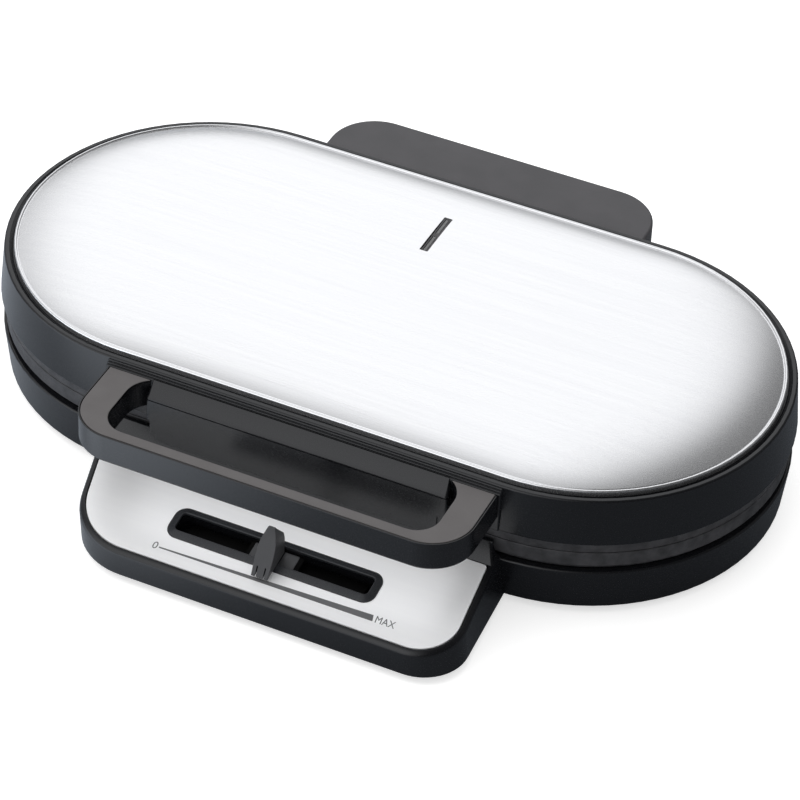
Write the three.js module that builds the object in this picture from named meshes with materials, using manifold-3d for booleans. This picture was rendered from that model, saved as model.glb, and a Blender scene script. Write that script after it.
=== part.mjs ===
// A double waffle maker: a base with a sloped control panel, and a hinged lid with a loop handle.
// Two cast plates with five-heart moulds meet between them. A slider on the panel turns the thermostat.
// Lengths are in millimetres. +X runs along the long side, the front is towards -Y, and +Z is up.
// Heights are measured from the lower edge of the base shell, apart from those of the feet.

import * as THREE from "three";
import { mergeVertices } from "three/addons/utils/BufferGeometryUtils.js";
import Module from "manifold-3d";

const wasm = await Module();
wasm.setup();

// Plan shared by the base, the plates and the lid: two round ends, drawn apart along X.
// Every radius of the body and every place round it follows from the lid's lower edge
const bodyRadius = 102.9;
const seat = 0.3;
const overrun = 6;
const edge = 0.8;

// Heights stack up: the base's rim, the parting plane of the plates, the lid's edge and its ring
const baseHeight = 23.5;
const lowerReveal = 10.9;
const partingHeight = baseHeight + lowerReveal;
const upperReveal = 6.3;
const lidBottom = partingHeight + upperReveal;
const lidHeight = 25;
const lidRing = lidBottom + lidHeight;

// Lid shell and cover
const lidWallRadius = bodyRadius;
const lidDraft = 2.4;
const lidTopRadius = lidWallRadius - lidDraft;
const lidWall = 2.5;
const ringWidth = 2.4;
const grooveDepth = 1.6;
const grooveGap = 0.6;
const coverMargin = 4.8;
const coverRadius = lidTopRadius - coverMargin;
const coverStep = 1.8;
const coverEdge = lidRing + coverStep;
const coverRim = 2.2;
const coverSheet = 0.9;
const crown = 6.8;
const crownPower = 5;
const deckWall = 2.4;

// Base shell
const rimStep = 0.7;
const baseDraft = 2.3;
const baseRimRadius = lidWallRadius - rimStep;
const baseFootRadius = baseRimRadius - baseDraft;
const baseWall = 2.5;
const baseFootEdge = 1.5;
const ledgeWidth = 6.5;
const ledgeThickness = 2;
const bossRadius = 4.5;
const bossY = 40;
const ventLength = 46;
const ventWidth = 3;
const ventPitch = 9;
const ventCount = 5;

// Cast plates. Their heights are measured from the parting plane, downwards for the lower plate
const plateGap = 0.3;
const plateStep = 1.4;
const plateRadius = baseRimRadius - plateStep;
const plateWeb = 3.5;
const lowerBand = 7.9;
const ribWidth = 2;
const ribInset = 2.3;
const ribRadius = plateRadius - ribInset;
const panMargin = 13.8;
const panRadius = plateRadius - panMargin;
const panSpacing = 25;
const panDepth = 10;
const mouldWall = 4;
const mouldRadius = panRadius - mouldWall;
const mouldDepth = 3;
const mouldNotch = 0.11;
const mouldTaper = 0.975;
const endOffset = panRadius + panSpacing / 2;

// Hearts in each mould, with square studs that leave pockets in the waffle
const heartCount = 5;
const heartDepth = 4;
const heartRidge = 4;
const heartMargin = 1;
const heartTaper = 0.95;
const studPitch = 14.6;
const studSide = 10.8;
const studTopSide = 8.4;
const studDrop = 0.4;
const studMargin = 0.8;

// Control panel housing. Its sides are not square to its front: both run to the right
const panelReach = 66.1;
const panelFront = baseRimRadius + panelReach;
const panelLeft = 88;
const panelRight = 107.6;
const panelLeftTaper = 0.235;
const panelRightTaper = 0.078;
const panelLeftCorner = 34;
const panelRightCorner = 22;
const panelSlope = 0.19;
const panelLean = 0.13;
const panelDepth = 32;
const panelWall = 2;
const rimWidth = 3;
const fasciaFrontHeight = 13.5;
const fasciaThickness = 1;
const fasciaStep = 7.1;
const fasciaBack = baseRimRadius + fasciaStep;
const fasciaBackCorner = 2;
const riserDrop = 1;
const riserHeight = partingHeight - riserDrop;
const riserHalf = 102;
const riserTopHalf = 97.9;
const riserWall = 2;

// Slider's slot and bezel
const slotX = 6.75;
const slotMargin = 26.4;
const slotY = panelFront - slotMargin;
const bezelLength = 106;
const bezelWidth = 17.2;
const bezelCorner = 5.5;
const bezelHeight = 1.2;
const bezelLip = 2;
const bezelWall = 1.5;
const bezelBevel = 0.9;

// Slider, rack and thermostat
const knobHeight = 19.5;
const knobTipReach = 16.3;
const knobBackReach = 5.4;
const knobTopDepth = 5;
const knobHalf = 6.2;
const knobEndHalf = 3;
const slitWidth = 0.7;
const slitHeight = 5;
const pointerHalf = 1.3;
const carriageHalf = 13.5;
const shoeThickness = 2;
const neckHalf = 3.5;
const blockHeight = 2.3;
const travel = 32;
const pinionRadius = 13.5;
const pinionTeeth = 17;
const toothTop = 1.3;
const toothRoot = 1.7;
const toothTopShare = 0.32;
const toothRootShare = 0.68;
const backlash = 0.5;
const rackThickness = 3.4;
const rackHeight = 9.2;
const rackDepth = 8;
const spindleRadius = 3;
const thermostatRadius = 10.5;
const spindleDepth = 4;

// Heating elements, heat shields and thermal fuse
const tubeRadius = 3.2;
const heaterInset = 32;
const heaterRadius = panRadius - heaterInset;
const heaterBend = 9;
const heaterGap = 14;
const heaterLead = 18;
const shieldInset = 3.5;
const shieldRadius = ribRadius - ribWidth - shieldInset;
const shieldSheet = 1;
const shieldDepth = 25.4;
const fuseRadius = 3;
const fuseLength = 18;
const fuseLead = 0.8;
const fuseLeadLength = 6;

// Screws that hold the lower shield
const screwRadius = 1.6;
const screwHeadRadius = 3.4;
const screwHeadHeight = 1.8;
const screwRoom = 1;
const screwLength = partingHeight - shieldDepth - seat - baseWall - screwRoom;

// Stepped pad and finger guard behind the handle
const padDepth = 3.1;
const padFront = lidTopRadius + padDepth;
const padDrop = 2.8;
const padTop = lidRing - padDrop;
const padSteps = 2;
const padStepRise = 0.85;
const padStepDepth = 1;
const guardDepth = 5.4;
const guardFront = padFront + guardDepth;
const guardDrop = 7.1;
const guardTop = padTop - guardDrop;
const guardCorner = 5;

// Lamp window in the cover
const windowY = 46.9;
const windowLength = 29.5;
const windowWidth = 3.8;
const windowWall = 0.9;
const windowBar = 2.2;
const windowDepth = 5;
const lampHolderDepth = 4;
const lampHolderHalf = 6;

// Loop handle
const handleHalf = 100;
const handleReach = 45.9;
const handleFront = padFront + handleReach;
const handleCorner = 22;
const handleHeight = 15.8;
const handleTop = padTop - seat;
const handleBottom = handleTop - handleHeight;
const handleArm = 16.1;
const handleBar = 6.7;
const handleHoleHalf = handleHalf - handleArm;
const handleHoleFront = handleFront - handleBar;
const handleHoleCorner = 12;
const handleHoleLap = 2.2;
const handleHoleBack = padFront - handleHoleLap;
const handleHoleBackCorner = 14.5;
const handleRim = 0.7;
const capThickness = 1.2;
const capStand = 0.3;
const capInset = 0.4;
const padOverhang = 1.7;
const padHalf = handleHalf + padOverhang;
const guardClearance = 7.1;
const guardHalf = handleHoleHalf - guardClearance;

// Hinge
const hingeReach = 23.1;
const hingeY = lidWallRadius + hingeReach;
const hingeRise = 1.6;
const hingeHeight = partingHeight + hingeRise;
const pinRadius = 3;
const pinHeadRadius = 4.6;
const pinHead = 2;
const armX = 48;
const armWidth = 11;
const armBoss = 8;
const earWidth = 8;
const earBoss = 8.5;
const earFoot = 11;
const hoodHalf = 87.4;
const hoodReach = 10.2;
const hoodBack = hingeY + hoodReach;
const hoodCorner = 25;
const hoodDrop = 3.3;
const hoodTop = lidRing - hoodDrop;
const hoodWall = 2.5;
const blockHalf = 80;
const blockRise = 3.5;
const blockTop = baseHeight + blockRise;
const blockReach = 2.3;
const blockBack = hingeY + blockReach;
const blockWall = 2.6;
const blockEdge = 1.5;
const coverPlate = 2;

// Inlet and terminal block
const inletX = -42;
const inletHeight = 13.5;
const inletBore = 3.8;
const inletWall = 1.5;
const inletFlange = 8;
const inletFlangeDepth = 1.8;
const terminalX = 28;
const terminalLength = 36;
const terminalWidth = 12;
const terminalHeight = 10;
const terminalBore = 2;
const terminalCount = 3;

// Feet
const footHeight = 4;
const footRadius = 9;
const footTopRadius = 7.6;
const footStem = 3;
const footStemLength = 2;
const hingeFootRadius = 7;
const footOffset = 40.5;
const footX = endOffset + footOffset;
const footY = 45;
const hingeFootX = 66;

// Facets
const endSides = 32;
const roundSides = 18;
const footSides = 12;
const smallSides = 8;
const cornerSides = 4;
const smallCornerSides = 1;
const lobeSides = 5;
const heaterSteps = 40;

// Colours, roughness and metalness
const finish = {
  gloss: { color: 0x15161a, roughness: 0.16, metalness: 0 },
  matt: { color: 0x4f4e52, roughness: 0.62, metalness: 0 },
  handleCap: { color: 0x706d6e, roughness: 0.6, metalness: 0 },
  steel: { color: 0xc9cacd, roughness: 0.3, metalness: 1 },
  fascia: { color: 0xd8dbe0, roughness: 0.34, metalness: 1 },
  cast: { color: 0x2a2b2e, roughness: 0.55, metalness: 0.4 },
  sheet: { color: 0xa9abad, roughness: 0.4, metalness: 1 },
  heater: { color: 0x6d6a66, roughness: 0.45, metalness: 0.9 },
  hinge: { color: 0x2b2c2f, roughness: 0.5, metalness: 0 },
  pin: { color: 0x9a9b9e, roughness: 0.3, metalness: 1 },
  lens: { color: 0x77797c, roughness: 0.12, metalness: 0 },
  inner: { color: 0xdedacf, roughness: 0.5, metalness: 0 },
  rubber: { color: 0x1b1b1c, roughness: 0.85, metalness: 0 },
};

// Solids

function toSolid(geometry) {
  geometry.deleteAttribute("normal");
  geometry.deleteAttribute("uv");
  const merged = mergeVertices(geometry);
  const corners = merged.index.array;
  const kept = [];
  for (let i = 0; i < corners.length; i += 3) {
    const [a, b, c] = [corners[i], corners[i + 1], corners[i + 2]];
    if (a !== b && b !== c && c !== a) kept.push(a, b, c);
  }
  const vertProperties = Float32Array.from(merged.attributes.position.array);
  const triVerts = Uint32Array.from(kept);
  return new wasm.Manifold(new wasm.Mesh({ numProp: 3, vertProperties, triVerts }));
}

function toGeometry(solid) {
  const { vertProperties, triVerts } = solid.getMesh();
  const geometry = new THREE.BufferGeometry();
  geometry.setAttribute("position", new THREE.BufferAttribute(vertProperties, 3));
  geometry.setIndex(new THREE.BufferAttribute(triVerts, 1));
  geometry.computeVertexNormals();
  return geometry;
}

function piece(name, solid, look) {
  const mesh = new THREE.Mesh(toGeometry(solid), new THREE.MeshStandardMaterial(look));
  mesh.name = name;
  return mesh;
}

function group(...children) {
  const made = new THREE.Group();
  made.add(...children);
  return made;
}

// A profile of [radius, height] pairs, revolved about Z
function revolve(profile, sides = roundSides) {
  const points = profile.map(([radius, height]) => new THREE.Vector2(radius, height));
  return new THREE.LatheGeometry(points, sides).rotateX(Math.PI / 2);
}

// The same, cut in two across X and drawn apart into a form with round ends and straight sides
function drawnRevolve(profile) {
  const points = profile.map(([radius, height]) => new THREE.Vector2(radius, height));
  const halfStep = Math.PI / endSides;
  const geometry = new THREE.LatheGeometry(points, endSides, halfStep);
  geometry.rotateX(Math.PI / 2).scale(1, 1 / Math.cos(halfStep), 1);
  const place = geometry.attributes.position;
  for (let i = 0; i < place.count; i += 1) {
    const column = Math.floor(i / points.length);
    const side = Math.sign(Math.sin(halfStep + column * 2 * halfStep));
    place.setX(i, place.getX(i) + side * endOffset);
  }
  return toSolid(geometry);
}

function outline(points) {
  return new THREE.Shape(points.map(([x, y]) => new THREE.Vector2(x, y)));
}

// A closed outline of straight lines. Its corners, counterclockwise, are rounded by the radii
function softOutline(points, radii) {
  const corners = points.map(([x, y]) => new THREE.Vector2(x, y));
  const shape = new THREE.Shape();
  corners.forEach((corner, i) => {
    const before = corners.at(i - 1).clone().sub(corner).normalize();
    const after = corners[(i + 1) % corners.length].clone().sub(corner).normalize();
    const half = Math.acos(before.dot(after)) / 2;
    const inward = before.clone().add(after).setLength(radii[i] / Math.sin(half));
    const middle = inward.add(corner);
    const start = Math.atan2(before.x, -before.y);
    const end = Math.atan2(-after.x, after.y);
    shape.absarc(middle.x, middle.y, radii[i], start, end, false);
  });
  shape.closePath();
  return shape;
}

// A rectangle with a radius for each corner: front left, front right, back right, back left
function roundedOutline(left, right, front, back, radii) {
  const corners = [[left, front], [right, front], [right, back], [left, back]];
  return softOutline(corners, Array.isArray(radii) ? radii : corners.map(() => radii));
}

function extrude(shape, low, high, curveSegments = cornerSides) {
  const settings = { depth: high - low, bevelEnabled: false, curveSegments };
  return new THREE.ExtrudeGeometry(shape, settings).translate(0, 0, low);
}

function prism(shape, low, high, curveSegments = cornerSides) {
  return toSolid(extrude(shape, low, high, curveSegments));
}

// A shape drawn in Y and Z, extruded along X
function prismAlongX(shape, low, high, curveSegments = cornerSides) {
  const turn = new THREE.Matrix4().makeBasis(
    new THREE.Vector3(0, 1, 0),
    new THREE.Vector3(0, 0, 1),
    new THREE.Vector3(1, 0, 0),
  );
  return toSolid(extrude(shape, low, high, curveSegments).applyMatrix4(turn));
}

// A shape drawn in X and Z, extruded along Y
function prismAlongY(shape, low, high, curveSegments = cornerSides) {
  const turn = new THREE.Matrix4().makeBasis(
    new THREE.Vector3(1, 0, 0),
    new THREE.Vector3(0, 0, 1),
    new THREE.Vector3(0, -1, 0),
  );
  return toSolid(extrude(shape, -high, -low, curveSegments).applyMatrix4(turn));
}

function box(left, right, front, back, low, high) {
  const geometry = new THREE.BoxGeometry(right - left, back - front, high - low);
  return toSolid(geometry.translate((left + right) / 2, (front + back) / 2, (low + high) / 2));
}

function cylinder(radius, low, high, sides = roundSides) {
  return toSolid(revolve([[0, low], [radius, low], [radius, high], [0, high]], sides));
}

function cylinderAlongX(radius, low, high, y, z, sides = roundSides) {
  const shape = new THREE.Shape().absarc(y, z, radius, 0, 2 * Math.PI);
  return prismAlongX(shape, low, high, sides / 2);
}

function moved(solid, x, y, z) {
  return solid.translate([x, y, z]);
}

function joined(...solids) {
  return solids.reduce((whole, solid) => whole.add(solid));
}

function cut(whole, ...tools) {
  return tools.reduce((rest, tool) => rest.subtract(tool), whole);
}

// Base shell

// The shell's wall leans out upwards: its outer radius at a height
function baseWallRadius(height) {
  return baseFootRadius + ((baseRimRadius - baseFootRadius) * height) / baseHeight;
}

function baseBowl() {
  const inner = baseHeight - ledgeThickness;
  const ledgeRadius = baseRimRadius - ledgeWidth;
  return drawnRevolve([
    [0, 0],
    [baseFootRadius - baseFootEdge, 0],
    [baseWallRadius(baseFootEdge), baseFootEdge],
    [baseWallRadius(baseHeight - edge), baseHeight - edge],
    [baseRimRadius - edge, baseHeight],
    [ledgeRadius, baseHeight],
    [ledgeRadius, inner],
    [baseWallRadius(inner) - baseWall, inner],
    [baseWallRadius(baseWall) - baseWall, baseWall],
    [0, baseWall],
  ]);
}

// How far the panel reaches to one side at a distance in front of the middle, drawn in by inset
function panelSide(front, taper, reach, inset) {
  return front + taper * (panelFront - reach) - inset * Math.hypot(1, taper);
}

// The panel's plan, drawn in by inset from the outer line of its rim
function panelOutline(inset, back, backCorner = fasciaBackCorner) {
  const front = panelFront - inset;
  const left = (reach) => -panelSide(panelLeft, panelLeftTaper, reach, inset);
  const right = (reach) => panelSide(panelRight, -panelRightTaper, reach, inset);
  const corners = [
    [left(front), -front],
    [right(front), -front],
    [right(back), -back],
    [left(back), -back],
  ];
  return softOutline(corners, [panelLeftCorner - inset, panelRightCorner - inset, backCorner, backCorner]);
}

// Moves a form drawn on a level plane onto the sloped plane of the fascia
function ontoPanel(geometry) {
  const shear = new THREE.Matrix4().makeShear(0, 0, 0, panelSlope, 0, 0);
  const rise = fasciaFrontHeight + panelSlope * (panelFront - rimWidth);
  return toSolid(geometry.applyMatrix4(shear).translate(0, 0, rise));
}

function panelHeight(y) {
  return fasciaFrontHeight + panelSlope * (y + panelFront - rimWidth);
}

// Leans what lies below the rim to the right and to the front
function leaned(geometry) {
  const place = geometry.attributes.position;
  for (let i = 0; i < place.count; i += 1) {
    const lean = Math.max(0, -rimWidth - place.getZ(i)) * panelLean;
    place.setX(i, place.getX(i) + lean);
    place.setY(i, place.getY(i) - lean);
  }
  return geometry;
}

function panelBlock() {
  const bevel = { bevelEnabled: true, bevelThickness: rimWidth, bevelSize: rimWidth, bevelSegments: 2 };
  const shape = panelOutline(rimWidth, baseFootRadius - 2 * overrun);
  const settings = { depth: panelDepth, curveSegments: cornerSides, ...bevel };
  const raw = new THREE.ExtrudeGeometry(shape, settings).translate(0, 0, -panelDepth - rimWidth);
  const reach = panelFront + overrun;
  const top = panelHeight(-fasciaBack) + panelSlope * rimWidth;
  const side = outline([
    [-reach, 0],
    [-baseFootRadius + baseWall / 2, 0],
    [-baseWallRadius(top) + baseWall / 2, top],
    [-reach, top],
  ]);
  return ontoPanel(leaned(raw)).intersect(prismAlongX(side, -2 * panelRight, 2 * panelRight));
}

// The sloped wall that rises from the back of the fascia and screens the plates
function riser() {
  const foot = panelHeight(-fasciaBack);
  const inner = plateRadius + 2 * seat;
  const side = outline([
    [-fasciaBack, foot - ledgeThickness],
    [-inner, foot - ledgeThickness],
    [-inner, riserHeight],
    [-inner - riserWall, riserHeight],
    [-fasciaBack, foot],
  ]);
  const ends = outline([
    [-riserHalf, 0],
    [riserHalf, 0],
    [riserHalf, foot],
    [riserTopHalf, riserHeight],
    [-riserTopHalf, riserHeight],
    [-riserHalf, foot],
  ]);
  const wall = prismAlongX(side, -riserHalf, riserHalf);
  return wall.intersect(prismAlongY(ends, -fasciaBack - overrun, 0));
}

function panelCavity() {
  const top = -fasciaThickness - seat - panelWall;
  const raw = extrude(panelOutline(rimWidth, baseFootRadius - 2 * overrun), -panelDepth, top);
  const reach = panelFront + overrun;
  const side = outline([
    [-reach, baseWall],
    [-baseWallRadius(baseWall) - baseWall, baseWall],
    [-baseWallRadius(baseHeight) - baseWall, baseHeight],
    [-reach, baseHeight],
  ]);
  return ontoPanel(leaned(raw)).intersect(prismAlongX(side, -2 * panelRight, 2 * panelRight));
}

function slotOutline(length, width, corner) {
  return roundedOutline(
    slotX - length / 2,
    slotX + length / 2,
    -slotY - width / 2,
    -slotY + width / 2,
    corner,
  );
}

function tubeLength() {
  return bezelLength - 2 * bezelLip;
}

function tubeWidth() {
  return bezelWidth - 2 * bezelLip;
}

function bossPlaces() {
  return [-1, 1].flatMap((x) => [-1, 1].map((y) => [x * endOffset, y * bossY]));
}

function footPlaces() {
  return [-1, 1].flatMap((x) => [-1, 1].map((y) => [x * footX, y * footY]));
}

function vents() {
  const slots = [];
  const first = (-(ventCount - 1) * ventPitch) / 2;
  for (const side of [-1, 1]) {
    for (let i = 0; i < ventCount; i += 1) {
      const [x, y] = [side * endOffset, first + i * ventPitch];
      const [left, right] = [x - ventLength / 2, x + ventLength / 2];
      const shape = roundedOutline(left, right, y - ventWidth / 2, y + ventWidth / 2, ventWidth / 2);
      slots.push(prism(shape, -overrun, baseWall + overrun, smallCornerSides));
    }
  }
  return slots;
}

function slotCut() {
  const slot = slotOutline(tubeLength() + 2 * seat, tubeWidth() + 2 * seat, bezelCorner - bezelLip);
  const top = panelHeight(-fasciaBack);
  const room = box(-panelRight, panelRight, -panelFront, -fasciaBack, baseWall + edge, top);
  return ontoPanel(extrude(slot, -panelDepth / 2, overrun)).intersect(room);
}

function baseShell() {
  const bossTop = partingHeight - shieldDepth - seat;
  const boss = cylinder(bossRadius, baseWall / 2, bossTop, smallSides);
  const hole = cylinder(screwRadius + seat, baseWall, baseHeight, smallSides);
  const stem = cylinder(footStem + seat, -overrun, baseWall + overrun, smallSides);
  const at = (places, solid) => places.map(([x, y]) => moved(solid, x, y, 0));
  const recess = extrude(panelOutline(rimWidth, fasciaBack), -fasciaThickness - seat, overrun);
  const whole = joined(baseBowl(), panelBlock(), riser(), ...at(bossPlaces(), boss));
  const tools = [panelCavity(), ontoPanel(recess), slotCut(), ...vents()];
  return cut(whole, ...tools, ...at(bossPlaces(), hole), ...at(footPlaces(), stem));
}

// Fascia and bezel

function controlFascia() {
  const shape = panelOutline(rimWidth + seat, fasciaBack + seat);
  const slot = slotOutline(tubeLength() + 2 * seat, tubeWidth() + 2 * seat, bezelCorner - bezelLip);
  const sheet = ontoPanel(extrude(shape, -fasciaThickness, 0));
  return sheet.subtract(ontoPanel(extrude(slot, -overrun, overrun)));
}

function sliderBezel() {
  const floor = -fasciaThickness - seat - panelWall;
  const top = seat + bezelHeight;
  const flange = extrude(slotOutline(bezelLength, bezelWidth, bezelCorner), seat, top);
  const tube = extrude(slotOutline(tubeLength(), tubeWidth(), bezelCorner - bezelLip), floor, top);
  const length = tubeLength() - 2 * bezelWall;
  const width = tubeWidth() - 2 * bezelWall;
  const corner = bezelCorner - bezelLip - bezelWall;
  const hole = extrude(slotOutline(length, width, corner), floor - overrun, top + overrun);
  const bevel = { bevelEnabled: true, bevelThickness: bezelBevel, bevelSize: bezelBevel, bevelSegments: 1 };
  const funnel = new THREE.ExtrudeGeometry(slotOutline(length, width, corner), {
    depth: overrun,
    curveSegments: cornerSides,
    ...bevel,
  });
  return joined(ontoPanel(flange), ontoPanel(tube)).subtract(ontoPanel(hole)).subtract(
    ontoPanel(funnel.translate(0, 0, top)),
  );
}

// Slider, rack and pinion

function toothPitch() {
  return (2 * Math.PI * pinionRadius) / pinionTeeth;
}

// Half widths of a tooth at its top and at its root, with the play that lets it run
function toothHalf(share) {
  return (toothPitch() * share - backlash) / 2;
}

function rackOutline() {
  const pitch = toothPitch();
  const half = travel + pinionRadius;
  const count = Math.floor((2 * half) / pitch);
  const line = -slotY + rackDepth;
  const points = [[-half, line - rackDepth], [half, line - rackDepth], [half, line - toothRoot]];
  for (let i = count - 1; i >= 0; i -= 1) {
    const x = (i - (count - 1) / 2) * pitch + ((count % 2) * pitch) / 2;
    if (Math.abs(x) + pitch / 2 > half) continue;
    points.push([x + toothHalf(toothRootShare), line - toothRoot]);
    points.push([x + toothHalf(toothTopShare), line + toothTop]);
    points.push([x - toothHalf(toothTopShare), line + toothTop]);
    points.push([x - toothHalf(toothRootShare), line - toothRoot]);
  }
  points.push([-half, line - toothRoot]);
  return outline(points);
}

function sliderCarriage() {
  const under = -fasciaThickness - 2 * seat - panelWall;
  const width = tubeWidth() / 2 - bezelWall - seat;
  const across = (half, reach) => roundedOutline(-half, half, -slotY - reach, -slotY + reach, edge);
  const layer = (shape, low, high) => ontoPanel(extrude(shape, low, high, smallCornerSides));
  const stemTop = panelHeight(-slotY) + under;
  return joined(
    layer(across(carriageHalf, bezelWidth / 2), under - shoeThickness, under),
    layer(across(carriageHalf, width), under - shoeThickness / 2, under + blockHeight),
    layer(across(neckHalf, width), under, bezelHeight + seat),
    prism(rackOutline(), rackHeight, rackHeight + rackThickness),
    box(-carriageHalf, carriageHalf, -slotY, -slotY + rackDepth / 2, rackHeight, stemTop),
  );
}

// A finger blade: its face leans back from a pointer between two slits, over the scale
function sliderKnob() {
  const lift = bezelHeight + 2 * seat;
  const tipY = -slotY - knobTipReach;
  const backY = -slotY + knobBackReach;
  const top = panelHeight(-slotY) + knobHeight;
  const foot = panelHeight(tipY) + lift;
  const side = outline([
    [tipY, foot],
    [backY, panelHeight(backY) + lift],
    [backY + edge, top - knobTopDepth],
    [backY - edge, top - edge],
    [backY - 2 * edge, top],
    [backY - knobTopDepth, top],
    [tipY + edge, foot + 2 * edge],
    [tipY, foot + edge],
  ]);
  const middle = (foot + top) / 2;
  const face = new THREE.Shape();
  face.moveTo(-knobEndHalf, foot);
  face.lineTo(knobEndHalf, foot);
  face.quadraticCurveTo(2 * knobHalf - knobEndHalf, middle, knobEndHalf, top);
  face.lineTo(-knobEndHalf, top);
  face.quadraticCurveTo(knobEndHalf - 2 * knobHalf, middle, -knobEndHalf, foot);
  const blade = prismAlongX(side, -2 * knobHalf, 2 * knobHalf).intersect(
    prismAlongY(face, tipY - overrun, backY + overrun),
  );
  const [slitBack, slitTop] = [tipY + slitHeight, foot + slitHeight];
  const slit = box(pointerHalf, pointerHalf + slitWidth, tipY - overrun, slitBack, foot - overrun, slitTop);
  return cut(blade, slit, moved(slit, -2 * pointerHalf - slitWidth, 0, 0));
}

function thermostatTop() {
  return rackHeight - seat;
}

function thermostatPinion() {
  const points = [];
  for (let i = 0; i < pinionTeeth; i += 1) {
    const middle = (2 * Math.PI * i) / pinionTeeth - Math.PI / 2;
    const turn = (half, radius, side) => {
      const angle = middle + (side * half) / pinionRadius;
      points.push([radius * Math.cos(angle), radius * Math.sin(angle)]);
    };
    turn(toothHalf(toothRootShare), pinionRadius - toothRoot, -1);
    turn(toothHalf(toothTopShare), pinionRadius + toothTop, -1);
    turn(toothHalf(toothTopShare), pinionRadius + toothTop, 1);
    turn(toothHalf(toothRootShare), pinionRadius - toothRoot, 1);
  }
  const gear = prism(outline(points), rackHeight, rackHeight + rackThickness);
  const low = thermostatTop() - spindleDepth + seat;
  const spindle = cylinder(spindleRadius, low, rackHeight + rackThickness + edge, smallSides);
  return gear.add(spindle);
}

function thermostatBody() {
  const top = thermostatTop();
  const can = toSolid(revolve([
    [0, baseWall + seat],
    [thermostatRadius, baseWall + seat],
    [thermostatRadius, top - edge],
    [thermostatRadius - edge, top],
    [0, top],
  ]));
  return can.subtract(cylinder(spindleRadius + seat, top - spindleDepth, top + overrun, smallSides));
}

// Plates, drawn with the parting plane at the origin and the back below it

// A flower of five hearts: ten lobes, with a notch in each heart and one between neighbours
function heartEdge(angle) {
  return 1 - mouldNotch * (1 - Math.abs(Math.sin(heartCount * angle)));
}

// Draws an extruded form in below the origin, to a share of its plan at that depth
function tapered(geometry, share, depth) {
  const place = geometry.attributes.position;
  for (let i = 0; i < place.count; i += 1) {
    const scale = 1 + ((1 - share) * place.getZ(i)) / depth;
    place.setX(i, place.getX(i) * scale);
    place.setY(i, place.getY(i) * scale);
  }
  return geometry;
}

function flowerCavity() {
  const points = [];
  const steps = 2 * lobeSides * heartCount;
  for (let i = 0; i < steps; i += 1) {
    const angle = (2 * Math.PI * i) / steps;
    const radius = mouldRadius * heartEdge(angle);
    points.push([radius * Math.cos(angle), radius * Math.sin(angle)]);
  }
  return toSolid(tapered(extrude(outline(points), -mouldDepth, mouldDepth), mouldTaper, mouldDepth));
}

// One heart lies along +X: its two straight sides meet near the middle, its two lobes follow the rim
function heartWell() {
  const limit = Math.PI / heartCount;
  const offset = heartRidge / 2;
  const rim = mouldRadius * mouldTaper - heartMargin;
  const last = limit - Math.asin(offset / (rim * (1 - mouldNotch)));
  const points = [[offset / Math.sin(limit), 0]];
  const steps = 2 * lobeSides;
  for (let i = 0; i <= steps; i += 1) {
    const angle = last * ((2 * i) / steps - 1);
    const radius = rim * heartEdge(angle);
    points.push([radius * Math.cos(angle), radius * Math.sin(angle)]);
  }
  const centre = (points[0][0] + rim) / 2;
  const well = extrude(outline(points), -heartDepth, mouldDepth / 2).translate(-centre, 0, 0);
  return moved(toSolid(tapered(well, heartTaper, heartDepth)), centre, 0, -mouldDepth);
}

// True where a stud stands whole inside its heart, clear of the ridges and the rim
function studFits(x, y) {
  const half = studSide / 2;
  const limit = Math.PI / heartCount;
  const spare = heartRidge / 2 + studMargin;
  return [-half, half].every((dx) => [-half, half].every((dy) => {
    const radius = Math.hypot(x + dx, y + dy);
    const angle = Math.atan2(y + dy, x + dx);
    const toRidge = radius * Math.sin(limit - Math.abs(angle));
    const toRim = mouldRadius * mouldTaper * heartEdge(angle) - radius;
    return Math.abs(angle) < limit && toRidge > spare && toRim > spare;
  }));
}

// A square stud on the floor of a heart, a little lower than the ridges
function stud() {
  const height = heartDepth - studDrop;
  const geometry = new THREE.BoxGeometry(studSide, studSide, 2 * height);
  const share = studTopSide / studSide;
  return toSolid(tapered(geometry, 2 - share, height).translate(0, 0, -heartDepth - mouldDepth));
}

function heartStuds() {
  const one = stud();
  const list = [];
  const rows = Math.ceil(mouldRadius / studPitch);
  for (let i = 1; i < rows; i += 1) {
    for (let j = -rows; j <= rows; j += 1) {
      const x = i * studPitch + studPitch / 2;
      const y = j * studPitch;
      if (studFits(x, y)) list.push(moved(one, x, y, 0));
    }
  }
  return list;
}

function heartMould() {
  const heart = cut(heartWell(), ...heartStuds());
  const hearts = [];
  for (let i = 0; i < heartCount; i += 1) hearts.push(heart.rotate([0, 0, (i * 360) / heartCount]));
  return joined(flowerCavity(), ...hearts);
}

function ridgeGap() {
  return partingHeight + plateGap;
}

function plate(band) {
  const ribDepth = partingHeight - baseHeight - seat;
  const casting = drawnRevolve([
    [0, -plateWeb],
    [ribRadius - ribWidth, -plateWeb],
    [ribRadius - ribWidth, -ribDepth],
    [ribRadius, -ribDepth],
    [ribRadius, -band],
    [plateRadius, -band],
    [plateRadius, -edge],
    [plateRadius - edge, 0],
    [0, 0],
  ]);
  const pan = cylinder(panRadius, -panDepth, -plateWeb / 2, endSides);
  const mould = heartMould();
  return cut(
    joined(casting, moved(pan, endOffset, 0, 0), moved(pan, -endOffset, 0, 0)),
    moved(mould, endOffset, 0, 0),
    moved(mould.rotate([0, 0, 180]), -endOffset, 0, 0),
  );
}

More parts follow.
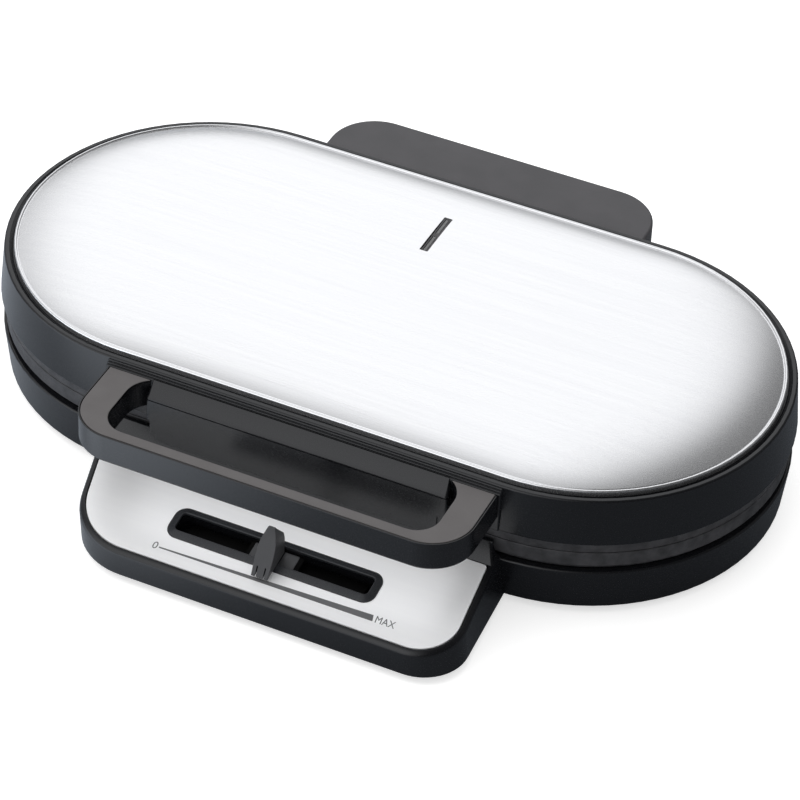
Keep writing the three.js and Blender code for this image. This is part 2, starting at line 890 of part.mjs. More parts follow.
function heatingElement() {
  const flat = new THREE.Path();
  const quarter = Math.PI / 2;
  const bendY = -heaterRadius - heaterBend;
  const bendX = heaterGap + heaterBend;
  const tail = bendY - heaterLead;
  flat.moveTo(-heaterGap, tail);
  flat.lineTo(-heaterGap, bendY);
  flat.absarc(-bendX, bendY, heaterBend, 0, quarter, false);
  flat.absarc(-endOffset, 0, heaterRadius, -quarter, quarter, true);
  flat.absarc(endOffset, 0, heaterRadius, quarter, -quarter, true);
  flat.absarc(bendX, bendY, heaterBend, quarter, 2 * quarter, false);
  flat.lineTo(heaterGap, tail);
  const depth = -panDepth - seat - tubeRadius;
  const points = flat.getSpacedPoints(heaterSteps).map(({ x, y }) => new THREE.Vector3(x, y, depth));
  const path = new THREE.CatmullRomCurve3(points, false, "centripetal");
  const section = new THREE.Shape().absarc(0, 0, tubeRadius, 0, 2 * Math.PI);
  const curveSegments = smallSides / 2;
  const settings = { steps: heaterSteps, curveSegments, extrudePath: path, bevelEnabled: false };
  return toSolid(new THREE.ExtrudeGeometry(section, settings));
}

function heatShield(withHoles) {
  const rim = -plateWeb - seat;
  const pan = drawnRevolve([
    [0, -shieldDepth],
    [shieldRadius, -shieldDepth],
    [shieldRadius, rim],
    [shieldRadius - shieldSheet, rim],
    [shieldRadius - shieldSheet, -shieldDepth + shieldSheet],
    [0, -shieldDepth + shieldSheet],
  ]);
  if (!withHoles) return pan;
  const hole = cylinder(screwRadius + seat, -shieldDepth - overrun, -shieldDepth + overrun, smallSides);
  return cut(pan, ...bossPlaces().map(([x, y]) => moved(hole, x, y, 0)));
}

function shieldScrew() {
  const head = -shieldDepth + shieldSheet + seat;
  return toSolid(revolve([
    [0, head - seat - shieldSheet - screwLength],
    [screwRadius, head - seat - shieldSheet - screwLength],
    [screwRadius, head],
    [screwHeadRadius, head],
    [screwHeadRadius, head + screwHeadHeight / 2],
    [screwHeadRadius / 2, head + screwHeadHeight],
    [0, head + screwHeadHeight],
  ], smallSides));
}

function thermalFuse() {
  const half = fuseLength / 2;
  const tip = half + fuseLeadLength;
  return toSolid(revolve([
    [0, -tip],
    [fuseLead, -tip],
    [fuseLead, -half],
    [fuseRadius, -half],
    [fuseRadius, half],
    [fuseLead, half],
    [fuseLead, tip],
    [0, tip],
  ], smallSides).rotateX(Math.PI / 2).translate(0, 0, -plateWeb - seat - fuseRadius));
}

// Lid

// The lid's wall leans out downwards: its outer radius at a height
function lidWallAt(height) {
  return lidTopRadius + ((lidWallRadius - lidTopRadius) * (lidRing - height)) / (lidRing - lidBottom);
}

function domeHeight(radius, drop) {
  const share = Math.min(1, radius / (coverRadius - coverRim));
  return coverEdge + crown * (1 - share ** crownPower) - edge / 2 - drop;
}

// The dome's profile from its rim to its middle, or back, lowered by drop
function domeProfile(drop) {
  const radiusShares = [0.96, 0.9, 0.82, 0.7, 0.5];
  return radiusShares.map((share) => {
    const radius = share * (coverRadius - coverRim);
    return [radius, domeHeight(radius, drop)];
  });
}

function lidCap() {
  const deck = coverSheet + seat;
  const grooveFloor = lidRing - grooveDepth;
  const grooveRadius = coverRadius + grooveGap;
  const seatRadius = coverRadius - coverRim;
  const under = deck + deckWall;
  return drawnRevolve([
    [0, domeHeight(0, under)],
    ...domeProfile(under).reverse(),
    [seatRadius, grooveFloor - deckWall],
    [lidWallAt(grooveFloor) - lidWall, grooveFloor - deckWall],
    [lidWallRadius - lidWall, lidBottom],
    [lidWallRadius, lidBottom],
    [lidWallAt(lidRing - edge), lidRing - edge],
    [lidTopRadius - edge, lidRing],
    [lidTopRadius - ringWidth, lidRing],
    [grooveRadius, grooveFloor],
    [seatRadius, grooveFloor],
    ...domeProfile(deck),
    [0, domeHeight(0, deck)],
  ]);
}

// The block that the handle's arms end on. Its top climbs to the ring in low steps
function handlePad() {
  const back = -lidTopRadius + lidWall / 2;
  const points = [[back, lidBottom], [-padFront, lidBottom], [-padFront, padTop]];
  for (let i = 1; i <= padSteps; i += 1) {
    const y = -padFront + i * padStepDepth;
    points.push([y, padTop + (i - 1) * padStepRise], [y, padTop + i * padStepRise]);
  }
  points.push([back, padTop + padSteps * padStepRise]);
  return prismAlongX(outline(points), -padHalf, padHalf);
}

// The wall that keeps fingers off the hot lid: coved above, upright below
function fingerGuard() {
  const back = lidTopRadius - lidWall / 2;
  const cove = new THREE.Shape();
  cove.moveTo(-back, lidBottom);
  cove.lineTo(-back, padTop);
  cove.lineTo(-padFront, padTop);
  cove.quadraticCurveTo(-padFront - edge, guardTop + edge, -guardFront, guardTop);
  cove.lineTo(-guardFront, lidBottom);
  const plan = roundedOutline(-guardHalf, guardHalf, -guardFront, -back + guardCorner, guardCorner);
  const wall = prism(plan, lidBottom, padTop);
  return wall.intersect(prismAlongX(cove, -2 * guardHalf, 2 * guardHalf, 4));
}

function windowOutline(inset) {
  const half = windowWidth / 2 - inset;
  const front = windowY - windowLength / 2 + inset;
  return roundedOutline(-half, half, front, windowY + windowLength / 2 - inset, edge / 2);
}

function lidShell() {
  const slot = prism(windowOutline(-seat), lidRing - overrun, coverEdge + 2 * crown);
  return cut(joined(lidCap(), handlePad(), fingerGuard()), slot);
}

function lidCover() {
  const seatRadius = coverRadius - coverRim;
  const hem = lidRing - grooveDepth + seat;
  const sheet = drawnRevolve([
    [0, domeHeight(0, coverSheet)],
    ...domeProfile(coverSheet).reverse(),
    [seatRadius, hem],
    [coverRadius, hem],
    [coverRadius, coverEdge - edge / 2],
    [coverRadius - edge / 2, coverEdge],
    [coverRadius - edge, coverEdge],
    [seatRadius, coverEdge - edge],
    ...domeProfile(0),
    [0, domeHeight(0, 0)],
  ]);
  return sheet.subtract(prism(windowOutline(-seat), lidRing - overrun, coverEdge + 2 * crown));
}

function windowTop() {
  return domeHeight(windowY + windowLength / 2, 0);
}

function lensSpan(side) {
  const start = windowY + (side * windowBar) / 2;
  const end = windowY + side * (windowLength / 2 - windowWall);
  return [Math.min(start, end), Math.max(start, end)];
}

function lensOutline(side, inset) {
  const half = windowWidth / 2 - windowWall - inset;
  const [front, back] = lensSpan(side);
  return roundedOutline(-half, half, front + inset, back - inset, edge / 4);
}

function windowFrame() {
  const frame = prism(windowOutline(0), windowTop() - windowDepth, windowTop());
  const holes = [-1, 1].map((side) => prism(lensOutline(side, 0), lidBottom, coverEdge + 2 * crown));
  return cut(frame, ...holes);
}

function lampLens(side) {
  return prism(lensOutline(side, seat / 2), windowTop() - windowDepth - seat / 2, windowTop() - edge / 4);
}

function lampHolder() {
  const top = windowTop() - windowDepth - seat;
  const reach = windowLength / 2 - windowWall;
  const shape = roundedOutline(-lampHolderHalf, lampHolderHalf, windowY - reach, windowY + reach, edge);
  return prism(shape, top - lampHolderDepth, top);
}

// Handle

function handleOutline(inset, back = padFront + seat) {
  const shape = new THREE.Shape();
  const quarter = Math.PI / 2;
  const [half, front, corner] = [handleHalf - inset, handleFront - inset, handleCorner - inset];
  shape.moveTo(-half, -back);
  shape.lineTo(-half, corner - front);
  shape.absarc(corner - half, corner - front, corner, 2 * quarter, 3 * quarter);
  shape.absarc(half - corner, corner - front, corner, -quarter, 0);
  shape.lineTo(half, -back);
  return shape;
}

function handleHole(grow) {
  const half = handleHoleHalf + grow;
  const radii = [handleHoleCorner, handleHoleCorner, handleHoleBackCorner, handleHoleBackCorner];
  return roundedOutline(-half, half, -handleHoleFront - grow, -handleHoleBack, radii);
}

// The frame holds the cap in a low rim that runs along its outer edge
function handleFrame() {
  const body = prism(handleOutline(0), handleBottom, handleTop - capStand);
  const recess = prism(handleOutline(handleRim, padFront), handleTop - capThickness - seat, handleTop);
  return cut(body, recess, prism(handleHole(0), handleBottom - overrun, handleTop));
}

function handleCap() {
  const low = handleTop - capThickness;
  const body = prism(handleOutline(handleRim + seat), low, handleTop);
  return cut(body, prism(handleHole(capInset), low - overrun, handleTop + overrun));
}

// Hinge

function knuckle(boss, foot, low, high) {
  const disc = cylinderAlongX(boss, low, high, hingeY, hingeHeight);
  const bore = pinRadius + seat;
  const hole = cylinderAlongX(bore, low - overrun, high + overrun, hingeY, hingeHeight, smallSides);
  return disc.add(prismAlongX(outline(foot), low, high)).subtract(hole);
}

function earFeet() {
  return [
    [hingeY - earBoss, hingeHeight],
    [hingeY - earFoot, blockTop - edge],
    [blockBack, blockTop - edge],
    [blockBack, hingeHeight],
  ];
}

function sidePairs() {
  const inner = armWidth / 2 + seat + edge / 4;
  return [-1, 1].flatMap((side) => [-1, 1].map((out) => {
    const near = side * armX + out * inner;
    const far = near + out * earWidth;
    return [Math.min(near, far), Math.max(near, far)];
  }));
}

function hingeBlock() {
  const body = outline([
    [baseFootRadius + seat, 0],
    [blockBack - blockEdge, 0],
    [blockBack, blockEdge],
    [blockBack, blockTop - blockEdge],
    [blockBack - blockEdge, blockTop],
    [baseRimRadius + seat, blockTop],
    [baseRimRadius + seat, baseHeight],
  ]);
  const front = baseRimRadius + seat + blockWall;
  const hollow = box(
    -blockHalf + blockWall,
    blockHalf - blockWall,
    front,
    blockBack - blockWall,
    -overrun,
    blockTop - blockWall,
  );
  const inlet = cylinder(inletBore + inletWall + seat, -overrun, overrun).rotate([90, 0, 0]);
  const whole = prismAlongX(body, -blockHalf, blockHalf);
  const ears = sidePairs().map(([low, high]) => knuckle(earBoss, earFeet(), low, high));
  return cut(joined(whole, ...ears), hollow, moved(inlet, inletX, blockBack, inletHeight));
}

function blockCover() {
  const front = baseRimRadius + 2 * seat + blockWall;
  const half = blockHalf - blockWall - seat;
  const back = blockBack - blockWall - seat;
  const plateSolid = box(-half, half, front, back, 0, coverPlate);
  const hole = cylinder(footStem + seat, -overrun, overrun);
  const y = hingeFootY();
  return cut(plateSolid, moved(hole, hingeFootX, y, 0), moved(hole, -hingeFootX, y, 0));
}

function hingeFootY() {
  return (baseRimRadius + 2 * seat + blockWall + blockBack - blockWall - seat) / 2;
}

function hingePin(side) {
  const half = armWidth / 2 + seat + edge / 4 + earWidth + edge;
  const shaft = cylinderAlongX(pinRadius, -half, half, hingeY, hingeHeight, smallSides);
  const head = cylinderAlongX(pinHeadRadius, half, half + pinHead, hingeY, hingeHeight, smallSides);
  const pin = shaft.add(head);
  return side > 0 ? pin : moved(pin.rotate([0, 180, 0]), 0, 0, 2 * hingeHeight);
}

function hingeArm() {
  const half = armWidth / 2;
  const top = hoodTop - hoodWall - seat;
  const inner = hoodBack - hoodWall - seat;
  const low = lidBottom + lidWall;
  const foot = [
    [hingeY - armBoss, hingeHeight],
    [lidWallAt(low) + seat, low],
    [lidWallAt(top) + seat, top],
    [inner - 2 * seat, top],
    [inner - 2 * seat, low],
    [hingeY + armBoss, hingeHeight],
  ];
  return knuckle(armBoss, foot, -half, half);
}

function hingeHood() {
  const outer = roundedOutline(-hoodHalf, hoodHalf, 0, hoodBack, [edge, edge, hoodCorner, hoodCorner]);
  const inset = hoodCorner - hoodWall;
  const inner = roundedOutline(
    hoodWall - hoodHalf,
    hoodHalf - hoodWall,
    -overrun,
    hoodBack - hoodWall,
    [edge, edge, inset, inset],
  );
  const room = prism(inner, lidBottom - overrun, hoodTop - hoodWall);
  const shell = prism(outer, lidBottom, hoodTop).subtract(room);
  const front = outline([
    [lidWallRadius + seat, lidBottom],
    [hoodBack + overrun, lidBottom],
    [hoodBack + overrun, hoodTop],
    [lidWallAt(hoodTop) + seat, hoodTop],
  ]);
  return shell.intersect(prismAlongX(front, -2 * hoodHalf, 2 * hoodHalf));
}

// Inlet, terminals and feet

function inletBush() {
  const depth = blockWall + seat;
  const outer = inletBore + inletWall;
  const profile = [
    [inletBore, -depth],
    [outer, -depth],
    [outer, seat],
    [inletFlange, seat],
    [inletFlange - edge, seat + inletFlangeDepth],
    [inletBore, seat + inletFlangeDepth],
    [inletBore, -depth],
  ];
  return toSolid(revolve(profile, footSides).rotateX(-Math.PI / 2));
}

function terminalBlock() {
  const low = coverPlate + seat;
  const shape = roundedOutline(0, terminalLength, 0, terminalWidth, edge);
  const pitch = terminalLength / terminalCount;
  const hole = cylinder(terminalBore, low + terminalHeight / 2, blockTop, smallSides);
  const holes = [];
  for (let i = 0; i < terminalCount; i += 1) {
    holes.push(moved(hole, pitch / 2 + i * pitch, terminalWidth / 2, 0));
  }
  return cut(prism(shape, low, low + terminalHeight), ...holes);
}

function foot(radius) {
  const topRadius = (radius * footTopRadius) / footRadius;
  return toSolid(revolve([
    [0, -footHeight],
    [radius - edge, -footHeight],
    [radius, edge - footHeight],
    [topRadius, -seat],
    [footStem, -seat],
    [footStem, footStemLength],
    [0, footStemLength],
  ], footSides));
}

// Assembly

function placed(mesh, x, y, z) {
  mesh.position.set(x, y, z);
  return mesh;
}

function buildLowerStack() {
  const screws = bossPlaces().map(([x, y], i) => {
    return placed(piece(`shield_screw_${i + 1}`, shieldScrew(), finish.pin), x, y, 0);
  });
  const stack = group(
    piece("lower_plate", plate(lowerBand), finish.cast),
    piece("lower_heating_element", heatingElement(), finish.heater),
    piece("lower_heat_shield", heatShield(true), finish.sheet),
    piece("thermal_fuse", thermalFuse(), finish.pin),
    ...screws,
  );
  stack.position.z = partingHeight;
  return stack;
}

function buildUpperStack() {
  const band = lidBottom - seat - ridgeGap();
  const stack = group(
    piece("upper_plate", plate(band), finish.cast),
    piece("upper_heating_element", heatingElement(), finish.heater),
    piece("upper_heat_shield", heatShield(false), finish.sheet),
  );
  stack.position.z = ridgeGap();
  stack.rotation.x = Math.PI;
  return stack;
}

function buildFeet() {
  const names = ["foot_front_left", "foot_rear_left", "foot_front_right", "foot_rear_right"];
  const feet = footPlaces().map(([x, y], i) => {
    return placed(piece(names[i], foot(footRadius), finish.rubber), x, y, 0);
  });
  const hingeFeet = [-1, 1].map((side) => {
    const name = side < 0 ? "hinge_foot_left" : "hinge_foot_right";
    return placed(piece(name, foot(hingeFootRadius), finish.rubber), side * hingeFootX, hingeFootY(), 0);
  });
  return group(...feet, ...hingeFeet);
}

function buildHingeBase() {
  const midY = hingeFootY() - terminalWidth / 2;
  return group(
    piece("hinge_block", hingeBlock(), finish.hinge),
    piece("hinge_block_cover", blockCover(), finish.hinge),
    placed(piece("hinge_pin_left", hingePin(-1), finish.pin), -armX, 0, 0),
    placed(piece("hinge_pin_right", hingePin(1), finish.pin), armX, 0, 0),
    placed(piece("inlet_bush", inletBush(), finish.rubber), inletX, blockBack, inletHeight),
    placed(piece("terminal_block", terminalBlock(), finish.inner), terminalX - terminalLength / 2, midY, 0),
  );
}

function buildControls() {
  const pinionY = -slotY + rackDepth + pinionRadius;
  return group(
    piece("control_fascia", controlFascia(), finish.fascia),
    piece("slider_bezel", sliderBezel(), finish.gloss),
    placed(piece("slider_knob", sliderKnob(), finish.matt), slotX, 0, 0),
    placed(piece("slider_carriage", sliderCarriage(), finish.hinge), slotX, 0, 0),
    placed(piece("thermostat_pinion", thermostatPinion(), finish.inner), slotX, pinionY, 0),
    placed(piece("thermostat", thermostatBody(), finish.inner), slotX, pinionY, 0),
  );
}

function buildHandle() {
  return group(
    piece("handle_frame", handleFrame(), finish.gloss),
    piece("handle_cap", handleCap(), finish.handleCap),
  );
}

// The lid turns about the hinge pins, so its group stands on their axis
function buildLid() {
  const content = group(
    piece("lid_shell", lidShell(), finish.gloss),
    piece("lid_cover", lidCover(), finish.steel),
    piece("window_frame", windowFrame(), finish.matt),
    piece("lens_power", lampLens(1), finish.lens),
    piece("lens_ready", lampLens(-1), finish.lens),
    piece("lamp_holder", lampHolder(), finish.inner),
    piece("hinge_hood", hingeHood(), finish.matt),
    placed(piece("hinge_arm_left", hingeArm(), finish.hinge), -armX, 0, 0),
    placed(piece("hinge_arm_right", hingeArm(), finish.hinge), armX, 0, 0),
    buildUpperStack(),
    buildHandle(),
  );
  content.position.set(0, -hingeY, -hingeHeight);
  const lid = group(content);
  lid.position.set(0, hingeY, hingeHeight);
  return lid;
}

const model = group(
  piece("base_shell", baseShell(), finish.gloss),
  buildControls(),
  buildLowerStack(),
  buildHingeBase(),
  buildFeet(),
  buildLid(),
);

// The origin lies on the standing surface, below the middle of the whole
const bounds = new THREE.Box3().setFromObject(model);
const middle = bounds.getCenter(new THREE.Vector3());
model.position.set(-middle.x, -middle.y, -bounds.min.z);

export default model;
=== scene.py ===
"""A double waffle maker, dressed for a studio picture.

Gloss and matt mouldings, a brushed lid cover and fascia, cast plates with heart moulds, rubber feet.
Lengths are in millimetres from the middle of the lid and the lower edge of the base shell.
They become metres in row().
"""

from math import acos, asin, atan2, ceil, cos, degrees, dist, hypot, pi, radians, sin, sqrt, tan

import bmesh
import bpy
from mathutils import Euler, Matrix, Vector
from mathutils.geometry import tessellate_polygon

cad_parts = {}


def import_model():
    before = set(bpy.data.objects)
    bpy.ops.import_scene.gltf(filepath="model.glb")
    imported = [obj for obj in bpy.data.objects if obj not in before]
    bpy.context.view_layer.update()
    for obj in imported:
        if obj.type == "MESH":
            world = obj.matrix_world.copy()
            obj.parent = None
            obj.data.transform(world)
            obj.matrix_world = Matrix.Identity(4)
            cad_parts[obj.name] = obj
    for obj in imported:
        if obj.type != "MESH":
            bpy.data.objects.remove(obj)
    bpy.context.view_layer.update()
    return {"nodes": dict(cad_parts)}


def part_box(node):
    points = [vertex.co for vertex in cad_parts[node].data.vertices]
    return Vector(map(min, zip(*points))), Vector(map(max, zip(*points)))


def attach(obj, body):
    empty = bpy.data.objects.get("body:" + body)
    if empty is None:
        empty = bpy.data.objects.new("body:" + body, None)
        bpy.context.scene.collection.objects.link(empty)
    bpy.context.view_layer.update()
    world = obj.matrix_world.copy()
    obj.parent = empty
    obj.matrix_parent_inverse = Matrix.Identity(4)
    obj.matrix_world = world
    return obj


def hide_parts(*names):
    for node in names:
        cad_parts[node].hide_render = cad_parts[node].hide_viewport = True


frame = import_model()
scene = bpy.context.scene


def middle_of(node):
    low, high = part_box(node)
    return (low + high) / 2


SHIFT = Vector((0, middle_of("lid_cover").y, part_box("base_shell")[0].z))

# Plan: how far the centres of the two round ends lie from the middle, and the steps round an end
END, END_STEPS = 99.5, 40

# Roundings of edges
CRISP, FINE, EDGE, SOFT = 0.2, 0.3, 0.5, 0.8

# Limit that keeps a sharp corner near its place when its line is drawn in
SHARPEST = 0.4

# In metres: points closer than this are one, and edges shorter than this are taken out
WELD, SLIVER = 2e-6, 1e-7

# Base: its wall is thinner at the foot than at the rim
BASE_FOOT, BASE_RIM, BASE_HEIGHT, BASE_FLOOR = 99.9, 102.2, 23.5, 2.5
FOOT_WALL, RIM_WALL = 2.3, 2.7
LEDGE, LEDGE_DEPTH = 6.5, 2.0
VENTS, VENT_PITCH, VENT_HALF = 5, 9.0, (23.0, 1.5)

# Control panel: left and right values where two stand together
PANEL_LEFT, PANEL_RIGHT, PANEL_FRONT = -88.0, 107.6, -168.3
PANEL_TAPERS = (0.235, 0.078)
PANEL_CORNERS = (34.0, 22.0)
PANEL_SLOPE, PANEL_LEAN, PANEL_RIM, RIM_TOP = 0.19, 0.13, 3.0, 2.7
PANEL_BITE = 1.2
FASCIA_BACK, FASCIA_FRONT_HEIGHT = -109.3, 13.5
FASCIA_BED, FASCIA_THICK, FASCIA_CORNER = 1.3, 1.0, 1.7
RISER_BACK, RISER_TOP, RISER_HALF, RISER_TAPER = -101.4, 33.4, 102.0, 4.1
RISER_THICK, RISER_ROOT, NUB, NUB_ENDS = 2.0, 3.0, 2.8, (96.6, 99.0)

# Slider: heights from the fascia's face
SLOT_X, SLOT_Y, SLOT_DEPTH = 6.75, -141.9, 10.5
TUBE_HALF, TUBE_RADIUS, TUBE_WALL, TUBE_DEPTH = (49.5, 5.1), 2.0, 1.4, 3.4
WELL, FLANGE, FLANGE_HEIGHT, FLANGE_LINE = 1.8, 3.5, 1.5, 0.4
KNOB_TIP, KNOB_FACE, KNOB_BACK, KNOB_HEIGHT, KNOB_CLEAR = -158.2, -145.0, -139.9, 19.5, 1.9
CARRIAGE_LEFT, CARRIAGE_RIGHT, CARRIAGE_HALF, CARRIAGE_TOP = 11.6, 11.2, 4.6, -1.1

# Print on the fascia: the wedge's corners, and place and size of the words
WEDGE = [(-44.7, -158.6), (64.6, -158.3), (63.7, -154.9), (-44.7, -157.9)]
ZERO, MAXIMUM, PRINT_LIFT = (-48.2, -159.7, 5.6), (65.4, -158.4, 5.5), 0.03

# Plates: heights from the parting plane
PARTING, PLATE_GAP = 34.4, 0.3
PLATE, PLATE_FOOT, PLATE_WALL, PLATE_DEPTH, PAN_DEPTH = 100.8, 98.5, 2.0, 10.6, 10.0
MOULD, MOULD_DEPTH, RIDGE = 83.0, 3.0, 4.0
HEARTS, NOTCH, TAPER = 5, 0.11, 0.975
HEART_DEPTH, HEART_GAP, HEART_DRAFT = 7.0, 1.0, 1.6
STUD, STUD_TOP, STUD_HEIGHT, STUD_PITCH = 5.4, 4.2, 3.6, 14.6

# Lid
LID_BOTTOM, LID_RING = 40.7, 65.7
LID_WALL, LID_TOP, LID_THICK = 102.9, 100.5, 2.5
SEAT_RADIUS, SEAT_TOP, SEAT_THICK = 92.5, 64.1, 2.4
COVER, COVER_SEAT, COVER_EDGE, COVER_SKIRT, CROWN = 95.7, 93.5, 67.5, 64.4, 6.8
COVER_SHEET, COVER_DROP = 0.9, 0.4
WINDOW_HALF, WINDOW_FRONT, WINDOW_BACK = 1.9, 32.15, 61.65
LENS_FRAME, LENS_LENGTH, LENS_DEPTH = 0.9, 12.75, 5.0
PAD_FRONT, PAD_BACK, PAD_TOP, PAD_HALF = -103.6, -99.0, 62.9, 101.4
PAD_STEP, PAD_RISE = 1.0, 0.85
GUARD_FRONT, GUARD_TOP, GUARD_BOTTOM, SKIRT_BOTTOM = -109.0, 55.8, 42.7, 31.0
GUARD_HALF, GUARD_DRAW, SKIRT_HALF, SKIRT_THICK = 78.2, 2.0, 73.0, 2.0
HANDLE_HALF, HANDLE_FRONT, HANDLE_CORNER = 100.0, -149.5, 22.0
HANDLE_TOP, HANDLE_BOTTOM, CAP_THICK = 62.6, 46.8, 1.5
GRIP_HALF, GRIP_FRONT, GRIP_BACK = 83.9, -142.8, -101.4
GRIP_CORNERS = (12.0, 14.5)

# Hinge
HINGE_Y, HINGE_Z = 126.0, 36.0
HOOD_HALF, HOOD_FRONT, HOOD_BACK, HOOD_TOP, HOOD_CORNER, HOOD_WALL = 87.4, 101.4, 136.2, 62.4, 25, 2.5
BLOCK_HALF, BLOCK_FRONT, BLOCK_BACK, BLOCK_TOP = 80, 100.6, 128.3, 27.0
RECESS, RECESS_DEPTH = 2.6, 2.3
ARM_X, ARM_HALF, EAR, BOSS = 48, 6.0, 8.0, 8.5
PIN_RADIUS, PIN_END, PIN_HEAD, PIN_HEAD_END = 3.0, 15.2, 4.6, 16.8

# Feet: name of a pair, place of the right one, and radius
FEET = [("foot_front_", 140, -45, 9.0), ("foot_rear_", 140, 45, 9.0), ("hinge_foot_", 66, 115.4, 7.0)]
FOOT_HEIGHT, FOOT_STEM = 4.0, 3.0


def row(point):
    """A point in metres in the frame that the CAD part uses."""
    return Vector(point) * 0.001 + SHIFT


# Lines in a plane


def arc(x, y, radius, start, end, steps=10):
    """Points on an arc from start to end, in degrees."""
    angles = [radians(start + (end - start) * i / steps) for i in range(steps + 1)]
    return [(x + radius * cos(a), y + radius * sin(a)) for a in angles]


def stadium(radius, straight=1):
    """A line round both ends, with its straight sides in a number of lengths."""
    line = []
    for side in (1, -1):
        line += arc(side * END, 0, radius, -90 * side, 90 + 90 * (1 - side), END_STEPS)
        line += [(side * END * (1 - 2 * i / straight), side * radius) for i in range(1, straight)]
    return line


def rounded(corners, radii, steps=6):
    """The closed line through the corners, each rounded by its own radius."""
    if not isinstance(radii, list):
        radii = [radii] * len(corners)
    points = []
    for i, radius in enumerate(radii):
        here = Vector(corners[i])
        before = (Vector(corners[i - 1]) - here).normalized()
        after = (Vector(corners[(i + 1) % len(corners)]) - here).normalized()
        if radius == 0:
            points.append(tuple(here))
            continue
        half = before.angle(after) / 2
        reach = radius / tan(half)
        centre = here + (before + after).normalized() * radius / sin(half)
        start = here + before * reach - centre
        end = here + after * reach - centre
        first = degrees(atan2(start.y, start.x))
        sweep = degrees(atan2(start.x * end.y - start.y * end.x, start.dot(end)))
        points += arc(centre.x, centre.y, radius, first, first + sweep, steps)
    return [p for p, q in zip(points, points[1:] + points[:1]) if dist(p, q) > 1e-5]


def rectangle(left, right, front, back, radii, steps=6):
    """Radii in the order front left, front right, back right, back left."""
    return rounded([(left, front), (right, front), (right, back), (left, back)], radii, steps)


def inset(line, distance):
    """The closed line moved to its left, which is inwards if it runs counterclockwise."""
    if distance == 0:
        return list(line)
    moved = []
    for i, point in enumerate(line):
        here = Vector(point)
        one = (here - Vector(line[i - 1])).normalized()
        two = (Vector(line[(i + 1) % len(line)]) - here).normalized()
        normal = Vector((-one.y - two.y, one.x + two.x))
        here += normal * distance * 2 / max(normal.length_squared, SHARPEST)
        moved.append(tuple(here))
    return moved


# Ways to lay a line in space


def flat(line, height):
    return [(x, y, height) for x, y in line]


def across(line, place):
    """The line is drawn in Y and Z, and place is its X."""
    return [(place, y, z) for y, z in line]


def plane(y):
    """Height of the fascia's face."""
    return FASCIA_FRONT_HEIGHT + PANEL_SLOPE * (y - PANEL_FRONT - PANEL_RIM)


def on_panel(line, lift):
    return [(x, y, plane(y) + lift) for x, y in line]


def levels(line, low, high, foot=0.0, top=0.0, lay=flat, steps=4):
    """The line at heights from low to high, drawn in at the ends by rounded edges.

    Negative radii widen a hole.
    """
    quarter = [pi / 2 * i / steps for i in range(steps + 1)]
    lower = [(foot * (1 - sin(a)), low + abs(foot) * (1 - cos(a))) for a in quarter]
    upper = [(top * (1 - sin(a)), high - abs(top) * (1 - cos(a))) for a in reversed(quarter)]
    chosen = (lower if foot else [(0, low)]) + (upper if top else [(0, high)])
    return [lay(inset(line, away), height) for away, height in chosen]


class Form:
    """Points and faces of one piece while it is made."""

    def __init__(self):
        self.points = []
        self.faces = []

    def ring(self, points):
        start = len(self.points)
        self.points.extend(points)
        return list(range(start, len(self.points)))

    def skin(self, rings):
        """Faces between each closed ring and the next. Returns the rings' point numbers."""
        marks = [self.ring(points) for points in rings]
        for one, two in zip(marks, marks[1:]):
            for i in range(len(one)):
                self.faces.append((one[i - 1], one[i], two[i], two[i - 1]))
        return marks

    def fill(self, *rings):
        """Flat faces inside the first ring and outside the others."""
        numbers = [mark for ring in rings for mark in ring]
        lines = [[Vector(self.points[mark]) for mark in ring] for ring in rings]
        for triple in tessellate_polygon(lines):
            self.faces.append(tuple(numbers[i] for i in triple))

    def solid(self, outer, *holes):
        """A closed body between the first and the last level, with holes through it."""
        walls = [self.skin(rings) for rings in (outer, *holes)]
        self.fill(*[wall[0] for wall in walls])
        self.fill(*[wall[-1] for wall in walls])
        return self

    def drawn(self, profile, closed=True, straight=1):
        """A profile of radii and heights, turned about both ends and drawn out between them."""
        rings = [flat(stadium(radius, straight), height) for radius, height in profile]
        self.skin(rings + rings[:1] if closed else rings)
        return self

    def turned(self, profile, centre, axis="Z", steps=40):
        """A profile of radii and heights from axis to axis, turned about an axis through centre."""
        order = {"Z": (0, 1, 2), "X": (2, 0, 1)}[axis]
        rings = []
        for radius, height in profile:
            turn = [(*point, height) for point in arc(0, 0, radius, 0, 360 - 360 / steps, steps - 1)]
            rings.append([tuple(point[i] + centre[k] for k, i in enumerate(order)) for point in turn])
        self.skin(rings)
        return self


def new_object(name, data):
    thing = bpy.data.objects.new(name, data)
    scene.collection.objects.link(thing)
    return thing


def bake(thing):
    """Puts the modifiers' result in the mesh and takes them off."""
    graph = bpy.context.evaluated_depsgraph_get()
    thing.data = bpy.data.meshes.new_from_object(thing.evaluated_get(graph), depsgraph=graph)
    thing.modifiers.clear()


def shape(name, form, look, angle=35, closed=True):
    mesh = bpy.data.meshes.new(name)
    mesh.from_pydata([row(point) for point in form.points], [], form.faces)
    made = bmesh.new()
    made.from_mesh(mesh)
    bmesh.ops.remove_doubles(made, verts=made.verts, dist=WELD)
    bmesh.ops.dissolve_degenerate(made, dist=SLIVER, edges=made.edges)
    if closed:
        bmesh.ops.recalc_face_normals(made, faces=made.faces)
    made.to_mesh(mesh)
    made.free()
    mesh.materials.append(look)
    thing = new_object(name, mesh)
    smooth(thing, angle)
    return thing


